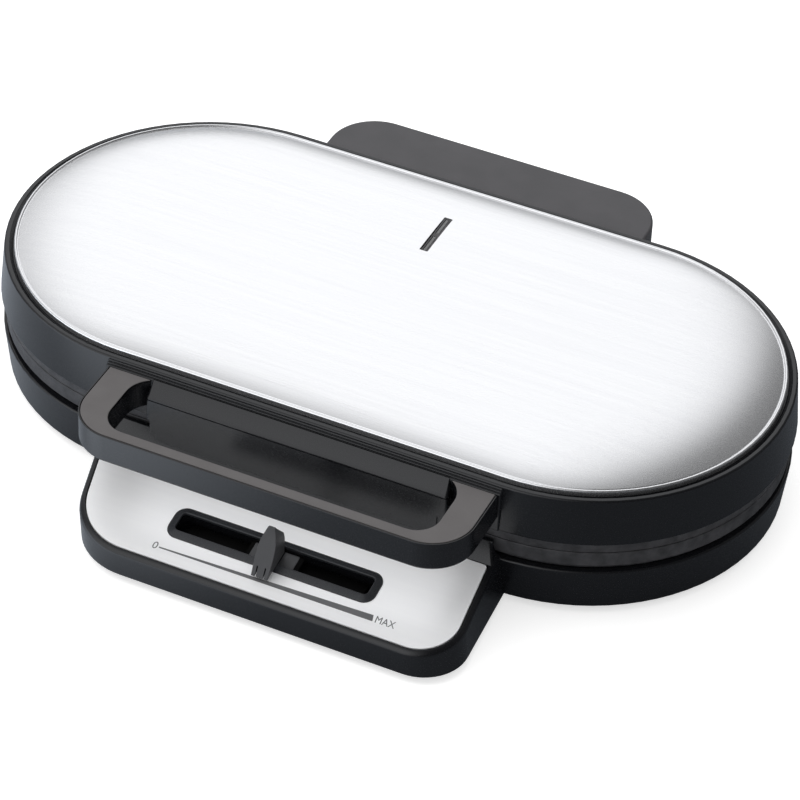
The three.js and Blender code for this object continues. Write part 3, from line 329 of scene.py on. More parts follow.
def smooth(thing, angle):
    """Smooth shading with sharp edges beyond the angle, and flat faces kept flat."""
    held = thing.data.attributes.get("custom_normal")
    if held:
        thing.data.attributes.remove(held)
    thing.data.shade_smooth()
    thing.data.set_sharp_from_angle(angle=radians(angle))
    even = thing.modifiers.new("even_normals", "WEIGHTED_NORMAL")
    even.keep_sharp = True
    even.weight = 100
    bake(thing)


def carve(thing, form, angle):
    """Cuts the form out of the piece."""
    tool = shape(thing.name + "_tool", form, thing.data.materials[0])
    cut = thing.modifiers.new("carve", "BOOLEAN")
    cut.operation = "DIFFERENCE"
    cut.solver = "EXACT"
    cut.object = tool
    bake(thing)
    bpy.data.objects.remove(tool)
    smooth(thing, angle)


def settle(thing, body, nodes=()):
    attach(thing, body)
    if nodes:
        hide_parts(*nodes)


def grain(thing):
    """A UV map that runs along X and Y, for brushed metal."""
    layer = thing.data.uv_layers.new(name="grain")
    for loop in thing.data.loops:
        place = thing.data.vertices[loop.vertex_index].co
        layer.data[loop.index].uv = (place.x * 10, place.y * 10)


# Finishes


def node(tree, kind, settings=None, **inputs):
    made = tree.nodes.new(kind)
    for key, value in (settings or {}).items():
        setattr(made, key, value)
    for key, value in inputs.items():
        socket = made.inputs[int(key[1:])] if key[1:].isdigit() else made.inputs[key.replace("_", " ")]
        if isinstance(value, bpy.types.NodeSocket):
            tree.links.new(value, socket)
        else:
            socket.default_value = value
    return made


def noise(tree, size, detail=3.0, stretch=(1, 1, 1), roughness=0.5):
    """Noise whose features are about size millimetres, stretched along an axis."""
    place = node(tree, "ShaderNodeTexCoord").outputs["Object"]
    scale = [1000 / size / s for s in stretch]
    mapped = node(tree, "ShaderNodeMapping", Vector=place, Scale=scale).outputs[0]
    made = node(tree, "ShaderNodeTexNoise", Vector=mapped, Scale=1.0, Detail=detail, Roughness=roughness)
    return made.outputs[0]


def spread(tree, value, low, high):
    """The value's middle range spread from low to high."""
    made = node(tree, "ShaderNodeMapRange", _0=value, _1=0.3, _2=0.7, _3=low, _4=high)
    return made.outputs[0]


def tint(tree, value, dark, light):
    """A colour from dark to light as the value goes from 0 to 1."""
    mix = node(tree, "ShaderNodeMix", {"data_type": "RGBA"}, _0=value)
    mix.inputs[6].default_value = (*dark, 1)
    mix.inputs[7].default_value = (*light, 1)
    return mix.outputs[2]


def mottle(tree, value, dark, light):
    """A colour between dark and light by the value's middle range."""
    return tint(tree, spread(tree, value, 0, 1), dark, light)


def calculate(tree, operation, *values):
    inputs = {f"_{i}": value for i, value in enumerate(values)}
    return node(tree, "ShaderNodeMath", {"operation": operation}, **inputs).outputs[0]


def ramp(tree, value, start, end, low, high):
    """A smooth change from low to high as the value goes from start to end."""
    smoothly = {"interpolation_type": "SMOOTHSTEP"}
    return node(tree, "ShaderNodeMapRange", smoothly, _0=value, _1=start, _2=end, _3=low, _4=high).outputs[0]


def bump(tree, value, strength, distance):
    """Relief, with its distance in millimetres."""
    made = node(tree, "ShaderNodeBump", Height=value, Strength=strength, Distance=distance * 0.001)
    return made.outputs[0]


def empty_tree(owner):
    owner.use_nodes = True
    owner.node_tree.nodes.clear()
    return owner.node_tree


def finish(name, build):
    """A material whose shader sockets are what build(tree) returns."""
    made = bpy.data.materials.new(name)
    tree = empty_tree(made)
    shader = node(tree, "ShaderNodeBsdfPrincipled", **build(tree))
    node(tree, "ShaderNodeOutputMaterial", Surface=shader.outputs[0])
    return made


def surface(dark, light, spots, rough, fine, relief, waves=None, **sockets):
    """Colour from the noise spots, roughness from the noise fine, and relief from waves or else from fine.

    A noise is given by its size, and where they aren't the usual ones its detail, stretch and roughness.
    """

    def build(tree):
        grit = noise(tree, *fine)
        return {
            "Base_Color": mottle(tree, noise(tree, *spots), dark, light),
            "Roughness": spread(tree, grit, *rough),
            "Normal": bump(tree, noise(tree, *waves) if waves else grit, *relief),
            **sockets,
        }

    return build


def matt(dark, light, roughness=0.55, grit=0.28, depth=0.03, specular=0.4):
    """Moulded plastic with a fine spark-eroded grain."""
    rough = (roughness - 0.05, roughness + 0.06)
    return surface(dark, light, (14.0, 2.0), rough, (grit, 2.0), (0.5, depth), Specular_IOR_Level=specular)


def brushed(dark, light, roughness, anisotropy, metallic, line=0.16):
    """Metal brushed along X."""
    rough, lines = (roughness - 0.05, roughness + 0.06), (line, 3.0, (260, 1, 1))
    plain = surface(dark, light, (3.0, 2.0, (60, 1, 1)), rough, lines, (0.1, 0.01))

    def build(tree):
        turn = node(tree, "ShaderNodeTangent", {"direction_type": "UV_MAP", "uv_map": "grain"})
        return {**plain(tree), "Metallic": metallic, "Anisotropic": anisotropy, "Tangent": turn.outputs[0]}

    return build


# Noises, and the rows of values that surface takes
DUST, WAVES, DENTS, RIPPLE = (0.5, 2.0), (9.0, 1.0), (8.0, 4.0), (1.2, 1.0)
GRIT, ROLLING, TURNING = (0.7, 4.0, (1, 1, 1), 0.6), (0.4, 3.0, (40, 1, 1)), (0.2, 2.0, (1, 30, 30))
gloss = ((0.005, 0.0054, 0.0066), (0.0068, 0.0073, 0.009), DUST, (0.22, 0.28), DUST, (0.05, 0.2), WAVES)
cast = ((0.035, 0.035, 0.038), (0.07, 0.07, 0.075), (6.0,), (0.42, 0.6), GRIT, (0.7, 0.22))
sheet = ((0.42, 0.42, 0.43), (0.56, 0.56, 0.57), DENTS, (0.3, 0.45), ROLLING, (0.1, 0.1), DENTS)
tube = ((0.13, 0.12, 0.115), (0.24, 0.19, 0.14), (22.0,), (0.4, 0.6), (0.6,), (0.3, 0.05))
steel = ((0.46, 0.46, 0.47), (0.56, 0.56, 0.57), (4.0, 2.0), (0.25, 0.38), TURNING, (0.25, 0.02))
smoke = ((0.16, 0.16, 0.165), (0.22, 0.22, 0.225), RIPPLE, (0.06, 0.12), RIPPLE, (0.2, 0.05))

GLOSS = finish("gloss_moulding", surface(*gloss))
CAP = finish("taupe_moulding", matt((0.106, 0.1, 0.1), (0.118, 0.112, 0.112), 0.6))
HOOD = finish("hood_moulding", matt((0.064, 0.063, 0.067), (0.074, 0.072, 0.077), 0.5))
KNOB = finish("knob_moulding", matt((0.048, 0.049, 0.053), (0.058, 0.059, 0.063), 0.42, 0.2, 0.015))
# Painted sheen: a lighter copy of the bezel's gloss black, standing in for the light reflected on its flange
BEZEL_PAINTED_SHEEN = finish("painted_sheen_moulding", matt((0.02, 0.0215, 0.025), (0.028, 0.03, 0.034), 0.3, 0.2, 0.01, 0.5))
HINGE = finish("hinge_moulding", matt((0.022, 0.022, 0.024), (0.03, 0.03, 0.032), 0.5))
INNER = finish("pale_moulding", matt((0.62, 0.6, 0.53), (0.7, 0.68, 0.61), 0.45))
RUBBER = finish("rubber", matt((0.012, 0.012, 0.012), (0.018, 0.018, 0.018), 0.8, 0.35, 0.05))
RACK = finish("rack_moulding", matt((0.002, 0.002, 0.002), (0.004, 0.004, 0.004), 0.7, 0.3, 0.03, 0.06))
PRINT = finish("scale_ink", matt((0.12, 0.122, 0.127), (0.135, 0.137, 0.142), 0.6, 0.1, 0.003))
STEEL = finish("brushed_cover", brushed((0.85, 0.85, 0.86), (0.88, 0.88, 0.885), 0.24, 0.3, 0.95))
FASCIA = finish("brushed_panel", brushed((0.94, 0.945, 0.96), (0.965, 0.97, 0.98), 0.37, 0.2, 0.22, 0.12))
CAST = finish("coated_casting", surface(*cast, Metallic=0.25))
SHEET = finish("bare_sheet", surface(*sheet, Metallic=1.0))
HEATER = finish("oxidised_tube", surface(*tube, Metallic=0.9))
PIN = finish("turned_steel", surface(*steel, Metallic=1.0))
LENS = finish("smoked_lens", surface(*smoke, Transmission_Weight=0.35))


# Base shell


def base_wall(height):
    return BASE_FOOT + (BASE_RIM - BASE_FOOT) * height / BASE_HEIGHT


def bowl(form):
    """The long bowl, with slots for air in its floor."""
    ledge, under = BASE_RIM - LEDGE, BASE_HEIGHT - LEDGE_DEPTH
    corners = [(0.0, 0.0), (BASE_FOOT, 0.0), (BASE_RIM, BASE_HEIGHT), (ledge, BASE_HEIGHT), (ledge, under)]
    corners += [(BASE_RIM - RIM_WALL, under), (BASE_FOOT - FOOT_WALL, BASE_FLOOR), (0.0, BASE_FLOOR)]
    profile = rounded(corners, [0, 1.5, 1.1, 0.5, 0.4, 0.8, 1.5, 0])
    walls = form.skin([flat(stadium(radius), height) for radius, height in profile if radius > 1])
    length, width = VENT_HALF
    holes = []
    for side in (-1, 1):
        for i in range(VENTS):
            x, y = side * END, (i - VENTS // 2) * VENT_PITCH
            slot = rectangle(x - length, x + length, y - width, y + width, width - 0.05, 4)
            holes.append(form.skin(levels(slot, 0.0, BASE_FLOOR, -0.4, -0.4, steps=2)))
    form.fill(walls[0], *[hole[0] for hole in holes])
    form.fill(walls[-1], *[hole[-1] for hole in holes])


def panel_edges(y, drawn_in):
    """X of the panel's two side edges at y. Both run on a slant."""
    along = y - PANEL_FRONT
    left = PANEL_LEFT - PANEL_TAPERS[0] * along + drawn_in * hypot(1, PANEL_TAPERS[0])
    right = PANEL_RIGHT - PANEL_TAPERS[1] * along - drawn_in * hypot(1, PANEL_TAPERS[1])
    return left, right


def panel_line(drawn_in, back, back_radius=0.0):
    front = PANEL_FRONT + drawn_in
    left, right = panel_edges(back, drawn_in)
    front_left, front_right = panel_edges(front, drawn_in)
    corners = [(left, back), (front_left, front), (front_right, front), (right, back)]
    left_radius, right_radius = [radius - drawn_in for radius in PANEL_CORNERS]
    return rounded(corners, [back_radius, left_radius, right_radius, back_radius], 14)


def panel_ring(drawn_in, drop, share=0.0):
    """A level of the panel's walls, drop below the fascia, or a share of the way on to the lower edge.

    Below the rim the walls lean to the right and to the front. Lean and height are found in rounds.
    """
    rounds, near = 4, 0.1
    ring = []
    for x, y in panel_line(drawn_in, RISER_BACK):
        at_back = y > RISER_BACK - near
        place = y
        for _ in range(rounds):
            height = (plane(place) - drop) * (1 - share)
            lean = max(0.0, plane(place) - height - PANEL_RIM) * PANEL_LEAN
            place = PANEL_BITE - base_wall(height) if at_back else y - lean
        if at_back:
            x = panel_edges(place + lean, drawn_in)[0 if x < 0 else 1]
        ring.append((x + lean, place, height))
    return ring


def slot_line(grown=0.0):
    """The long rounded line of the slider's slot, or one further out."""
    length, width = TUBE_HALF[0] + grown, TUBE_HALF[1] + grown
    ends = (SLOT_X - length, SLOT_X + length)
    return rectangle(*ends, SLOT_Y - width, SLOT_Y + width, TUBE_RADIUS + grown, 8)


def panel(form):
    """The panel's walls, its rounded rim, and the bed for the fascia with the slider's slot."""
    foot_line = [(x, y) for x, y, _ in panel_ring(0.0, PANEL_RIM, 1.0)]
    foot_edge = ((SOFT, 0.0), (0.25, 0.25), (0.0, SOFT))
    rings = [flat(inset(foot_line, away), height) for away, height in foot_edge]
    rings += [panel_ring(0.0, PANEL_RIM, share) for share in (0.8, 0.6, 0.4, 0.2)]
    steps = 6
    for i in range(steps + 1):
        angle = pi / 2 * i / steps
        rings.append(panel_ring(RIM_TOP * (1 - cos(angle)), PANEL_RIM * (1 - sin(angle))))
    rings.append(panel_ring(RIM_TOP, FASCIA_BED))
    walls = form.skin(rings)
    well = slot_line(WELL)
    slot = form.skin([on_panel(well, -FASCIA_BED), on_panel(well, -SLOT_DEPTH)])
    form.fill(walls[0])
    form.fill(walls[-1], slot[0])
    form.fill(slot[-1])


def riser(form):
    """The wall behind the fascia that screens the plates."""
    foot = plane(FASCIA_BACK)
    root = foot - RISER_ROOT
    corners = [(FASCIA_BACK, root), (RISER_BACK, root), (RISER_BACK, RISER_TOP)]
    corners += [(RISER_BACK - RISER_THICK, RISER_TOP), (FASCIA_BACK, foot)]
    side = rounded(corners, [0, 0, EDGE, 0.7, EDGE])

    def half(height):
        return RISER_HALF - max(0.0, height - foot) * RISER_TAPER / (RISER_TOP - foot)

    edge = [(0.9, 0.0), (0.45, 0.15), (0.12, 0.6), (0.0, 1.2)]
    rings = [[(back - half(z), y, z) for y, z in inset(side, away)] for away, back in edge]
    rings += [[(half(z) - back, y, z) for y, z in inset(side, away)] for away, back in reversed(edge)]
    form.solid(rings)
    nub = rectangle(RISER_BACK - 2.0, RISER_BACK - 0.2, RISER_TOP - NUB, RISER_TOP, 0.6)
    form.solid(levels(nub, *NUB_ENDS, 0.4, 0.4, across))


def base_shell():
    form = Form()
    bowl(form)
    panel(form)
    riser(form)
    settle(shape("base_moulding", form, GLOSS), "base", ["base_shell"])


# Fascia, scale and slider


def fascia():
    line = panel_line(PANEL_RIM + FINE, FASCIA_BACK - FINE, FASCIA_CORNER)
    outer = levels(line, -FASCIA_THICK, 0.0, 0.0, 0.25, on_panel, 2)
    well = slot_line(WELL)
    form = Form().solid(outer, [on_panel(well, -FASCIA_THICK), on_panel(well, 0.0)])
    made = shape("fascia_sheet", form, FASCIA)
    grain(made)
    settle(made, "base", ["control_fascia"])


def lettering(form, text, left, base, size, width=1.0, lean=0.0):
    """Text on the fascia, drawn narrower or wider and leaning to the left by a share of its height."""
    curve = bpy.data.curves.new("lettering", "FONT")
    curve.body = text
    curve.size = size
    holder = new_object("lettering", curve)
    graph = bpy.context.evaluated_depsgraph_get()
    mesh = bpy.data.meshes.new_from_object(holder.evaluated_get(graph))
    line = [(left + width * point.co.x - lean * point.co.y, base + point.co.y) for point in mesh.vertices]
    marks = form.ring(on_panel(line, PRINT_LIFT))
    form.faces += [tuple(marks[i] for i in face.vertices) for face in mesh.polygons]
    bpy.data.objects.remove(holder)


def scale_print():
    """A wedge that grows with the heat, between 0 and MAX."""
    form = Form()
    form.fill(form.ring(on_panel(WEDGE, PRINT_LIFT)))
    lettering(form, "0", *ZERO)
    lettering(form, "MAX", *MAXIMUM, width=0.84, lean=0.09)
    settle(shape("scale_print", form, PRINT, closed=False), "base")


def bezel():
    """The frame round the slider's slot: a flange that rises to its inner edge, a dark outline and a tube.
    The flange is coloured with a painted sheen, lighter than the gloss black of the outline and the tube.
    """
    tube, outer = slot_line(), slot_line(FLANGE)
    seat, side, shoulder = 0.05, 0.3, 0.55
    crown = [(outer, seat), (outer, side), (inset(outer, side), shoulder)]
    crown = [on_panel(line, lift) for line, lift in crown + [(inset(tube, -EDGE), FLANGE_HEIGHT)]]
    lip = levels(tube, seat, FLANGE_HEIGHT, 0.0, -EDGE, on_panel, 3)
    # The flange's colour is a painted sheen, a lighter copy of the bezel's gloss black
    settle(shape("bezel_flange", Form().solid(crown, lip), BEZEL_PAINTED_SHEEN, 20), "base")
    form = Form()
    outline_top = 0.35
    outline = levels(inset(outer, -FLANGE_LINE), seat, outline_top, 0.0, 0.1, on_panel, 2)
    form.solid(outline, [on_panel(outer, seat), on_panel(outer, outline_top)])
    heights = (-TUBE_DEPTH, CRISP)
    form.solid(*[[on_panel(line, lift) for lift in heights] for line in (inset(tube, -TUBE_WALL), tube)])
    settle(shape("slot_bezel", form, GLOSS, 20), "base", ["slider_bezel"])


def between(table, share):
    """The value of a table of pairs at a share."""
    for (low, one), (high, two) in zip(table, table[1:]):
        if share <= high:
            return one + (two - one) * (share - low) / (high - low)


def knob():
    """A blade whose leaf-shaped face leans back from a pointer tip between two slits."""
    tip, top = plane(KNOB_TIP) + KNOB_CLEAR, plane(SLOT_Y) + KNOB_HEIGHT
    face_half = [(0.0, 4.2), (0.2, 4.4), (0.4, 4.6), (0.55, 4.5), (0.7, 4.1), (0.85, 3.1), (1.0, 1.8)]
    back_half = [(0.0, 4.3), (0.6, 4.4), (0.78, 4.1), (1.0, 2.0)]
    back_in = [(0.0, 0.0), (0.6, 0.0), (0.76, 0.5), (1.0, 4.4)]
    blade_edge, front_edge, thinnest, steps = 0.4, FINE, 1.0, 30
    rings = []
    for i in range(steps + 1):
        share = i / steps
        height = tip + (top - tip) * share
        near_end = max(0.0, 1 - (1 - share) * steps / 2)
        face = between(face_half, share) - front_edge * near_end**2
        front = KNOB_TIP + blade_edge + (KNOB_FACE - blade_edge - KNOB_TIP) * share
        back = max(KNOB_BACK - between(back_in, share), front + thinnest)
        wide = between(back_half, share)
        corners = [(-wide, back), (-face, front), (face, front), (wide, back)]
        ring = []
        for x, y in rounded(corners, [blade_edge, front_edge, front_edge, blade_edge], 4):
            under = plane(y) + KNOB_CLEAR
            ring.append((SLOT_X + x, y, max(height, under) if share < 0.35 else height))
        rings.append(ring)
    made = shape("slider_blade", Form().solid(rings), KNOB, 30)
    slit_sides, slit_end, slit_top, clear = (1.7, 2.4), KNOB_TIP + 4, tip + 4.5, 6
    for side in (-1, 1):
        near, far = sorted(SLOT_X + side * x for x in slit_sides)
        slit = rectangle(near, far, KNOB_TIP - clear, slit_end, 0.1, 1)
        carve(made, Form().solid(levels(slit, tip - clear, slit_top)), 30)
    settle(made, "slider", ["slider_knob"])


def carriage():
    """The block that carries the knob along the slot, above its dark rack."""
    ends = (SLOT_X - CARRIAGE_LEFT, SLOT_X + CARRIAGE_RIGHT)
    block = rectangle(*ends, SLOT_Y - CARRIAGE_HALF, SLOT_Y + CARRIAGE_HALF, SOFT, 4)
    form = Form().solid(levels(block, CARRIAGE_TOP - 0.9, CARRIAGE_TOP, 0.0, FINE, on_panel, 3))
    settle(shape("carriage_top", form, KNOB), "slider")


# Plates


def heart_edge(angle):
    return 1 - NOTCH * (1 - abs(sin(HEARTS * angle)))


def flower(radius, steps=180):
    angles = [2 * pi * i / steps for i in range(steps)]
    return [(radius * heart_edge(a) * cos(a), radius * heart_edge(a) * sin(a)) for a in angles]


def heart(number, away):
    """One heart's outline: two ridges' sides from the middle, and the rim's two lobes."""
    limit = pi / HEARTS
    offset = RIDGE / 2 + away
    rim = MOULD * TAPER - HEART_GAP - away
    start = -limit + asin(offset / (rim * (1 - NOTCH)))
    points = [(offset / sin(limit), 0.0)]
    steps = 30
    for i in range(steps + 1):
        angle = start - 2 * start * i / steps
        radius = rim * heart_edge(angle)
        points.append((radius * cos(angle), radius * sin(angle)))
    turn = Matrix.Rotation(2 * limit * number, 2)
    return [tuple(turn @ Vector(point)) for point in points]


def mould(side):
    """The lines of one flower of hearts, from the parting plane down: its opening, and the hearts in it."""

    def put(line):
        return [(side * (END + x), side * y) for x, y in line]

    edge = [(0.8, 0.0), (0.25, 0.2), (-0.1, 0.8), (MOULD * TAPER - MOULD, MOULD_DEPTH)]
    opening = [(put(flower(MOULD + grown)), depth) for grown, depth in edge]
    hearts = []
    for number in range(HEARTS):
        walls = ((0.0, MOULD_DEPTH), (0.4, MOULD_DEPTH + 0.5), (HEART_DRAFT, HEART_DEPTH))
        hearts.append([(put(heart(number, away)), depth) for away, depth in walls])
    return opening, hearts


def plate(name, body, node_name, turn, band):
    """turn is 1 for the lower plate and -1 for the upper one, whose hearts face down."""
    base = PARTING if turn > 0 else PARTING + PLATE_GAP

    def at(line, depth):
        return flat(line, base - turn * depth)

    form = Form()
    inner = PLATE_FOOT - PLATE_WALL
    corners = [(0.0, 0.0), (PLATE, 0.0), (PLATE, band), (PLATE_FOOT, band)]
    corners += [(PLATE_FOOT, PLATE_DEPTH), (inner, PLATE_DEPTH), (inner, PAN_DEPTH), (0.0, PAN_DEPTH)]
    side = rounded(corners, [0, 0.6, EDGE, FINE, FINE, FINE, EDGE, 0], 4)
    walls = form.skin([at(stadium(radius), depth) for radius, depth in side if radius > 1])
    openings = []
    for place in (-1, 1):
        opening, hearts = mould(place)
        marks = form.skin([at(line, depth) for line, depth in opening])
        openings.append(marks[0])
        wells = [form.skin([at(line, depth) for line, depth in heart_lines]) for heart_lines in hearts]
        form.fill(marks[-1], *[well[0] for well in wells])
        for well in wells:
            form.fill(well[-1])
    form.fill(walls[0], *openings)
    form.fill(walls[-1])
    settle(shape(name, form, CAST, 30), body, [node_name])
    studs(name + "_studs", body, base, turn)


def stud_places(side):
    """Where a square stud stands whole inside each heart of one side, with its heart's turn."""
    limit = pi / HEARTS
    spare = RIDGE / 2 + SOFT
    rows = ceil(MOULD / STUD_PITCH)
    places = []
    for i in range(1, rows):
        for j in range(-rows, rows + 1):
            x, y = (i + 0.5) * STUD_PITCH, j * STUD_PITCH
            fits = True
            for corner in ((x + dx, y + dy) for dx in (-STUD, STUD) for dy in (-STUD, STUD)):
                radius, angle = hypot(*corner), atan2(corner[1], corner[0])
                to_ridge = radius * sin(limit - abs(angle))
                to_rim = MOULD * TAPER * heart_edge(angle) - radius
                fits = fits and abs(angle) < limit and to_ridge > spare and to_rim > spare
            for turn in (2 * limit * number for number in range(HEARTS if fits else 0)):
                along = x * cos(turn) - y * sin(turn)
                up = x * sin(turn) + y * cos(turn)
                places.append((side * (END + along), side * up, turn))
    return places


def stud_nodes():
    """Node group: a tapered square stud on each point, turned by the point's own angle."""
    group = bpy.data.node_groups.new("heart_studs", "GeometryNodeTree")
    face = group.interface
    face.new_socket("Points", in_out="INPUT", socket_type="NodeSocketGeometry")
    face.new_socket("Studs", in_out="OUTPUT", socket_type="NodeSocketGeometry")
    for label, value in (("Foot", STUD), ("Top", STUD_TOP), ("Height", STUD_HEIGHT)):
        size = face.new_socket(label, in_out="INPUT", socket_type="NodeSocketFloat")
        size.default_value = value / 1000
    face.new_socket("Finish", in_out="INPUT", socket_type="NodeSocketMaterial")
    given = node(group, "NodeGroupInput").outputs
    foot, top = [calculate(group, "MULTIPLY", given[label], sqrt(2)) for label in ("Foot", "Top")]
    sizes = {"Vertices": 4, "Radius_Bottom": foot, "Radius_Top": top, "Depth": given["Height"]}
    cone = node(group, "GeometryNodeMeshCone", **sizes).outputs["Mesh"]
    angle = node(group, "GeometryNodeInputNamedAttribute", {"data_type": "FLOAT"}, Name="turn").outputs[0]
    square = calculate(group, "ADD", angle, pi / 4)
    turn = node(group, "ShaderNodeCombineXYZ", Z=square).outputs[0]
    places = {"Points": given["Points"], "Instance": cone, "Rotation": turn}
    spots = node(group, "GeometryNodeInstanceOnPoints", **places).outputs[0]
    real = node(group, "GeometryNodeRealizeInstances", Geometry=spots).outputs[0]
    painted = node(group, "GeometryNodeSetMaterial", Geometry=real, Material=given["Finish"]).outputs[0]
    node(group, "NodeGroupOutput", Studs=painted)
    return group


def studs(name, body, base, turn):
    mesh = bpy.data.meshes.new(name)
    spots = stud_places(-1) + stud_places(1)
    mesh.from_pydata([row((x, y, base - turn * HEART_DEPTH)) for x, y, _ in spots], [], [])
    attribute = mesh.attributes.new("turn", "FLOAT", "POINT")
    for i, (_, _, angle) in enumerate(spots):
        attribute.data[i].value = angle
    thing = new_object(name, mesh)
    grown = thing.modifiers.new("studs", "NODES")
    grown.node_group = STUD_NODES
    for item in STUD_NODES.interface.items_tree:
        if item.in_out == "INPUT" and item.name == "Finish":
            grown[item.identifier] = CAST
    bake(thing)
    if turn < 0:
        for vertex in thing.data.vertices:
            vertex.co.z = 2 * row((0, 0, base - turn * HEART_DEPTH)).z - vertex.co.z
        thing.data.flip_normals()
    smooth(thing, 30)
    settle(thing, body)


# Lid


def dome(radius):
    share = min(1.0, radius / COVER_SEAT)
    return COVER_EDGE + CROWN * (1 - share**5) - COVER_DROP


def window_line(grown):
    half = WINDOW_HALF + grown
    return rectangle(-half, half, WINDOW_FRONT - grown, WINDOW_BACK + grown, EDGE, 4)


def lid_cover():
    """The dome, the groove at its foot, its rolled rim and the sheet's underside."""
    steps = 40
    radii = [COVER_SEAT * sin(pi / 2 * i / steps) for i in range(steps + 1)]
    profile = [(radius, dome(radius)) for radius in radii]
    groove = COVER_EDGE - 0.75
    profile += [(COVER_SEAT + 0.25, groove), (COVER_SEAT + 0.55, groove)]
    profile += arc(COVER - SOFT, groove, SOFT, 165, 0, 8)
    inner = COVER - COVER_SHEET
    profile += [(COVER, groove - 0.35), (COVER, COVER_SKIRT), (inner, COVER_SKIRT)]
    profile += [(inner, COVER_SKIRT + 1.5), (COVER_SEAT - FINE, COVER_SKIRT + 1.7)]
    under = (91.0, 88.0, 84.0, 78.0, 68.0, 50.0, 25.0, 0.0)
    profile += [(radius, dome(radius) - COVER_SHEET) for radius in under]
    made = shape("cover_sheet", Form().drawn(profile, closed=False, straight=24), STEEL, 40)
    carve(made, Form().solid(levels(window_line(FINE), COVER_EDGE - 7.5, COVER_EDGE + 12.5)), 40)
    grain(made)
    settle(made, "lid", ["lid_cover"])


def lid_ring(form):
    """The lid's wall, with the seat for the cover inside its top."""
    under, inner = SEAT_TOP - SEAT_THICK, LID_WALL - LID_THICK
    corners = [(SEAT_RADIUS, SEAT_TOP), (96.3, SEAT_TOP), (98.1, LID_RING), (LID_TOP, LID_RING)]
    corners += [(LID_WALL, LID_BOTTOM), (inner, LID_BOTTOM), (98.6, under), (SEAT_RADIUS, under)]
    form.drawn(rounded(corners, [CRISP, FINE, 0.4, 1.1, SOFT, EDGE, EDGE, CRISP]))


def pad(form):
    """The stepped block that the handle's arms are fixed to."""
    steps = [(PAD_BACK, LID_BOTTOM), (PAD_FRONT, LID_BOTTOM), (PAD_FRONT, PAD_TOP)]
    for i in (1, 2):
        y = PAD_FRONT + i * PAD_STEP
        steps += [(y, PAD_TOP + PAD_RISE * (i - 1)), (y, PAD_TOP + PAD_RISE * i)]
    steps.append((PAD_BACK, PAD_TOP + 2 * PAD_RISE))
    line = rounded(steps, [0, 0.6, EDGE, 0.12, 0.25, 0.12, 0.25, 0], 3)
    form.solid(levels(line, -PAD_HALF, PAD_HALF, -0.6, -0.6, across, 3))


def guard(form):
    """The wall that keeps fingers off the hot lid: upright, then coved, with a skirt down to the base."""
    back_half = GUARD_HALF - GUARD_DRAW

    def plan(share, away=0.0):
        """Its line where the cove has come a share of the way to the pad."""
        half, front = GUARD_HALF - GUARD_DRAW * share, GUARD_FRONT + (PAD_FRONT - GUARD_FRONT) * share
        corners = [(-half, front), (half, front), (back_half, PAD_FRONT + 1), (back_half, PAD_BACK - 1)]
        corners += [(-back_half, PAD_BACK - 1), (-back_half, PAD_FRONT + 1)]
        radius = 1.6 - 1.2 * share
        return inset(rounded(corners, [radius, radius, EDGE, 0.0, 0.0, EDGE], 6), away)

    edge = [(0.0, -1.3), (0.5, -1.3), (0.5, -0.7), (0.0, -0.7), (0.0, -0.2), (0.15, 0.0)]
    rings = [flat(plan(0.0), GUARD_BOTTOM)]
    rings += [flat(plan(0.0, away), GUARD_TOP + rise) for away, rise in edge]
    steps = 12
    for i in range(1, steps + 1):
        share = i / steps
        rise = (PAD_TOP - GUARD_TOP) * share * (0.75 + 0.25 * share)
        rings.append(flat(plan(0.07 + 0.92 * share), GUARD_TOP + rise))
    form.solid(rings)
    radii = [EDGE, EDGE, FINE, FINE]
    skirt = rectangle(-SKIRT_HALF, SKIRT_HALF, GUARD_FRONT, GUARD_FRONT + SKIRT_THICK, radii, 3)
    form.solid(levels(skirt, SKIRT_BOTTOM, GUARD_BOTTOM, 0.4, 0.0, steps=3))
    ledge = rectangle(-back_half + 0.2, back_half - 0.2, GUARD_FRONT + 0.7, GUARD_FRONT + 2.4, FINE, 3)
    form.solid(levels(ledge, LID_BOTTOM - 6.6, GUARD_BOTTOM + CRISP, CRISP, 0.0, steps=3))


def lid_shell():
    form = Form()
    lid_ring(form)
    pad(form)
    guard(form)
    settle(shape("lid_moulding", form, GLOSS), "lid", ["lid_shell"])


def lamp_window():
    """The frame in the cover's window, with two long lenses in it."""
    top = dome(WINDOW_BACK)
    half = WINDOW_HALF - LENS_FRAME
    front, back = WINDOW_FRONT + LENS_FRAME, WINDOW_BACK - LENS_FRAME
    holes = [rectangle(-half, half, y, y + LENS_LENGTH, 0.4, 3) for y in (front, back - LENS_LENGTH)]
    lamps = [levels(hole, top - LENS_DEPTH, top, 0.0, -CRISP) for hole in holes]
    form = Form().solid(levels(window_line(0.0), top - LENS_DEPTH, top, 0.0, FINE), *lamps)
    settle(shape("lamp_frame", form, HOOD), "lid", ["window_frame"])
    lights = (("ready_light", "lens_ready"), ("power_light", "lens_power"))
    for (name, node_name), hole in zip(lights, holes):
        lens = Form().solid(levels(inset(hole, 0.12), top - LENS_DEPTH, top - 0.1, 0.0, 0.35))
        settle(shape(name, lens, LENS), "lid", [node_name])


def handle_line(outer, hole):
    """The handle's U, counterclockwise, with its ends on the pad, drawn in outside and at its hole."""
    half, front, corner = HANDLE_HALF - outer, HANDLE_FRONT + outer, HANDLE_CORNER - outer
    back = PAD_FRONT - FINE
    line = rounded([(-half, back), (-half, front), (half, front), (half, back)], [0, corner, corner, 0], 14)
    near, far = GRIP_CORNERS
    side = GRIP_HALF + hole
    reach = degrees(acos((back - GRIP_BACK + far) / far))
    grip = arc(side - far, GRIP_BACK - far, far, 90 - reach, 0, 8)
    grip += arc(side - near, GRIP_FRONT - hole + near, near, 0, -90, 10)
    return line + grip + [(-x, y) for x, y in reversed(grip)]


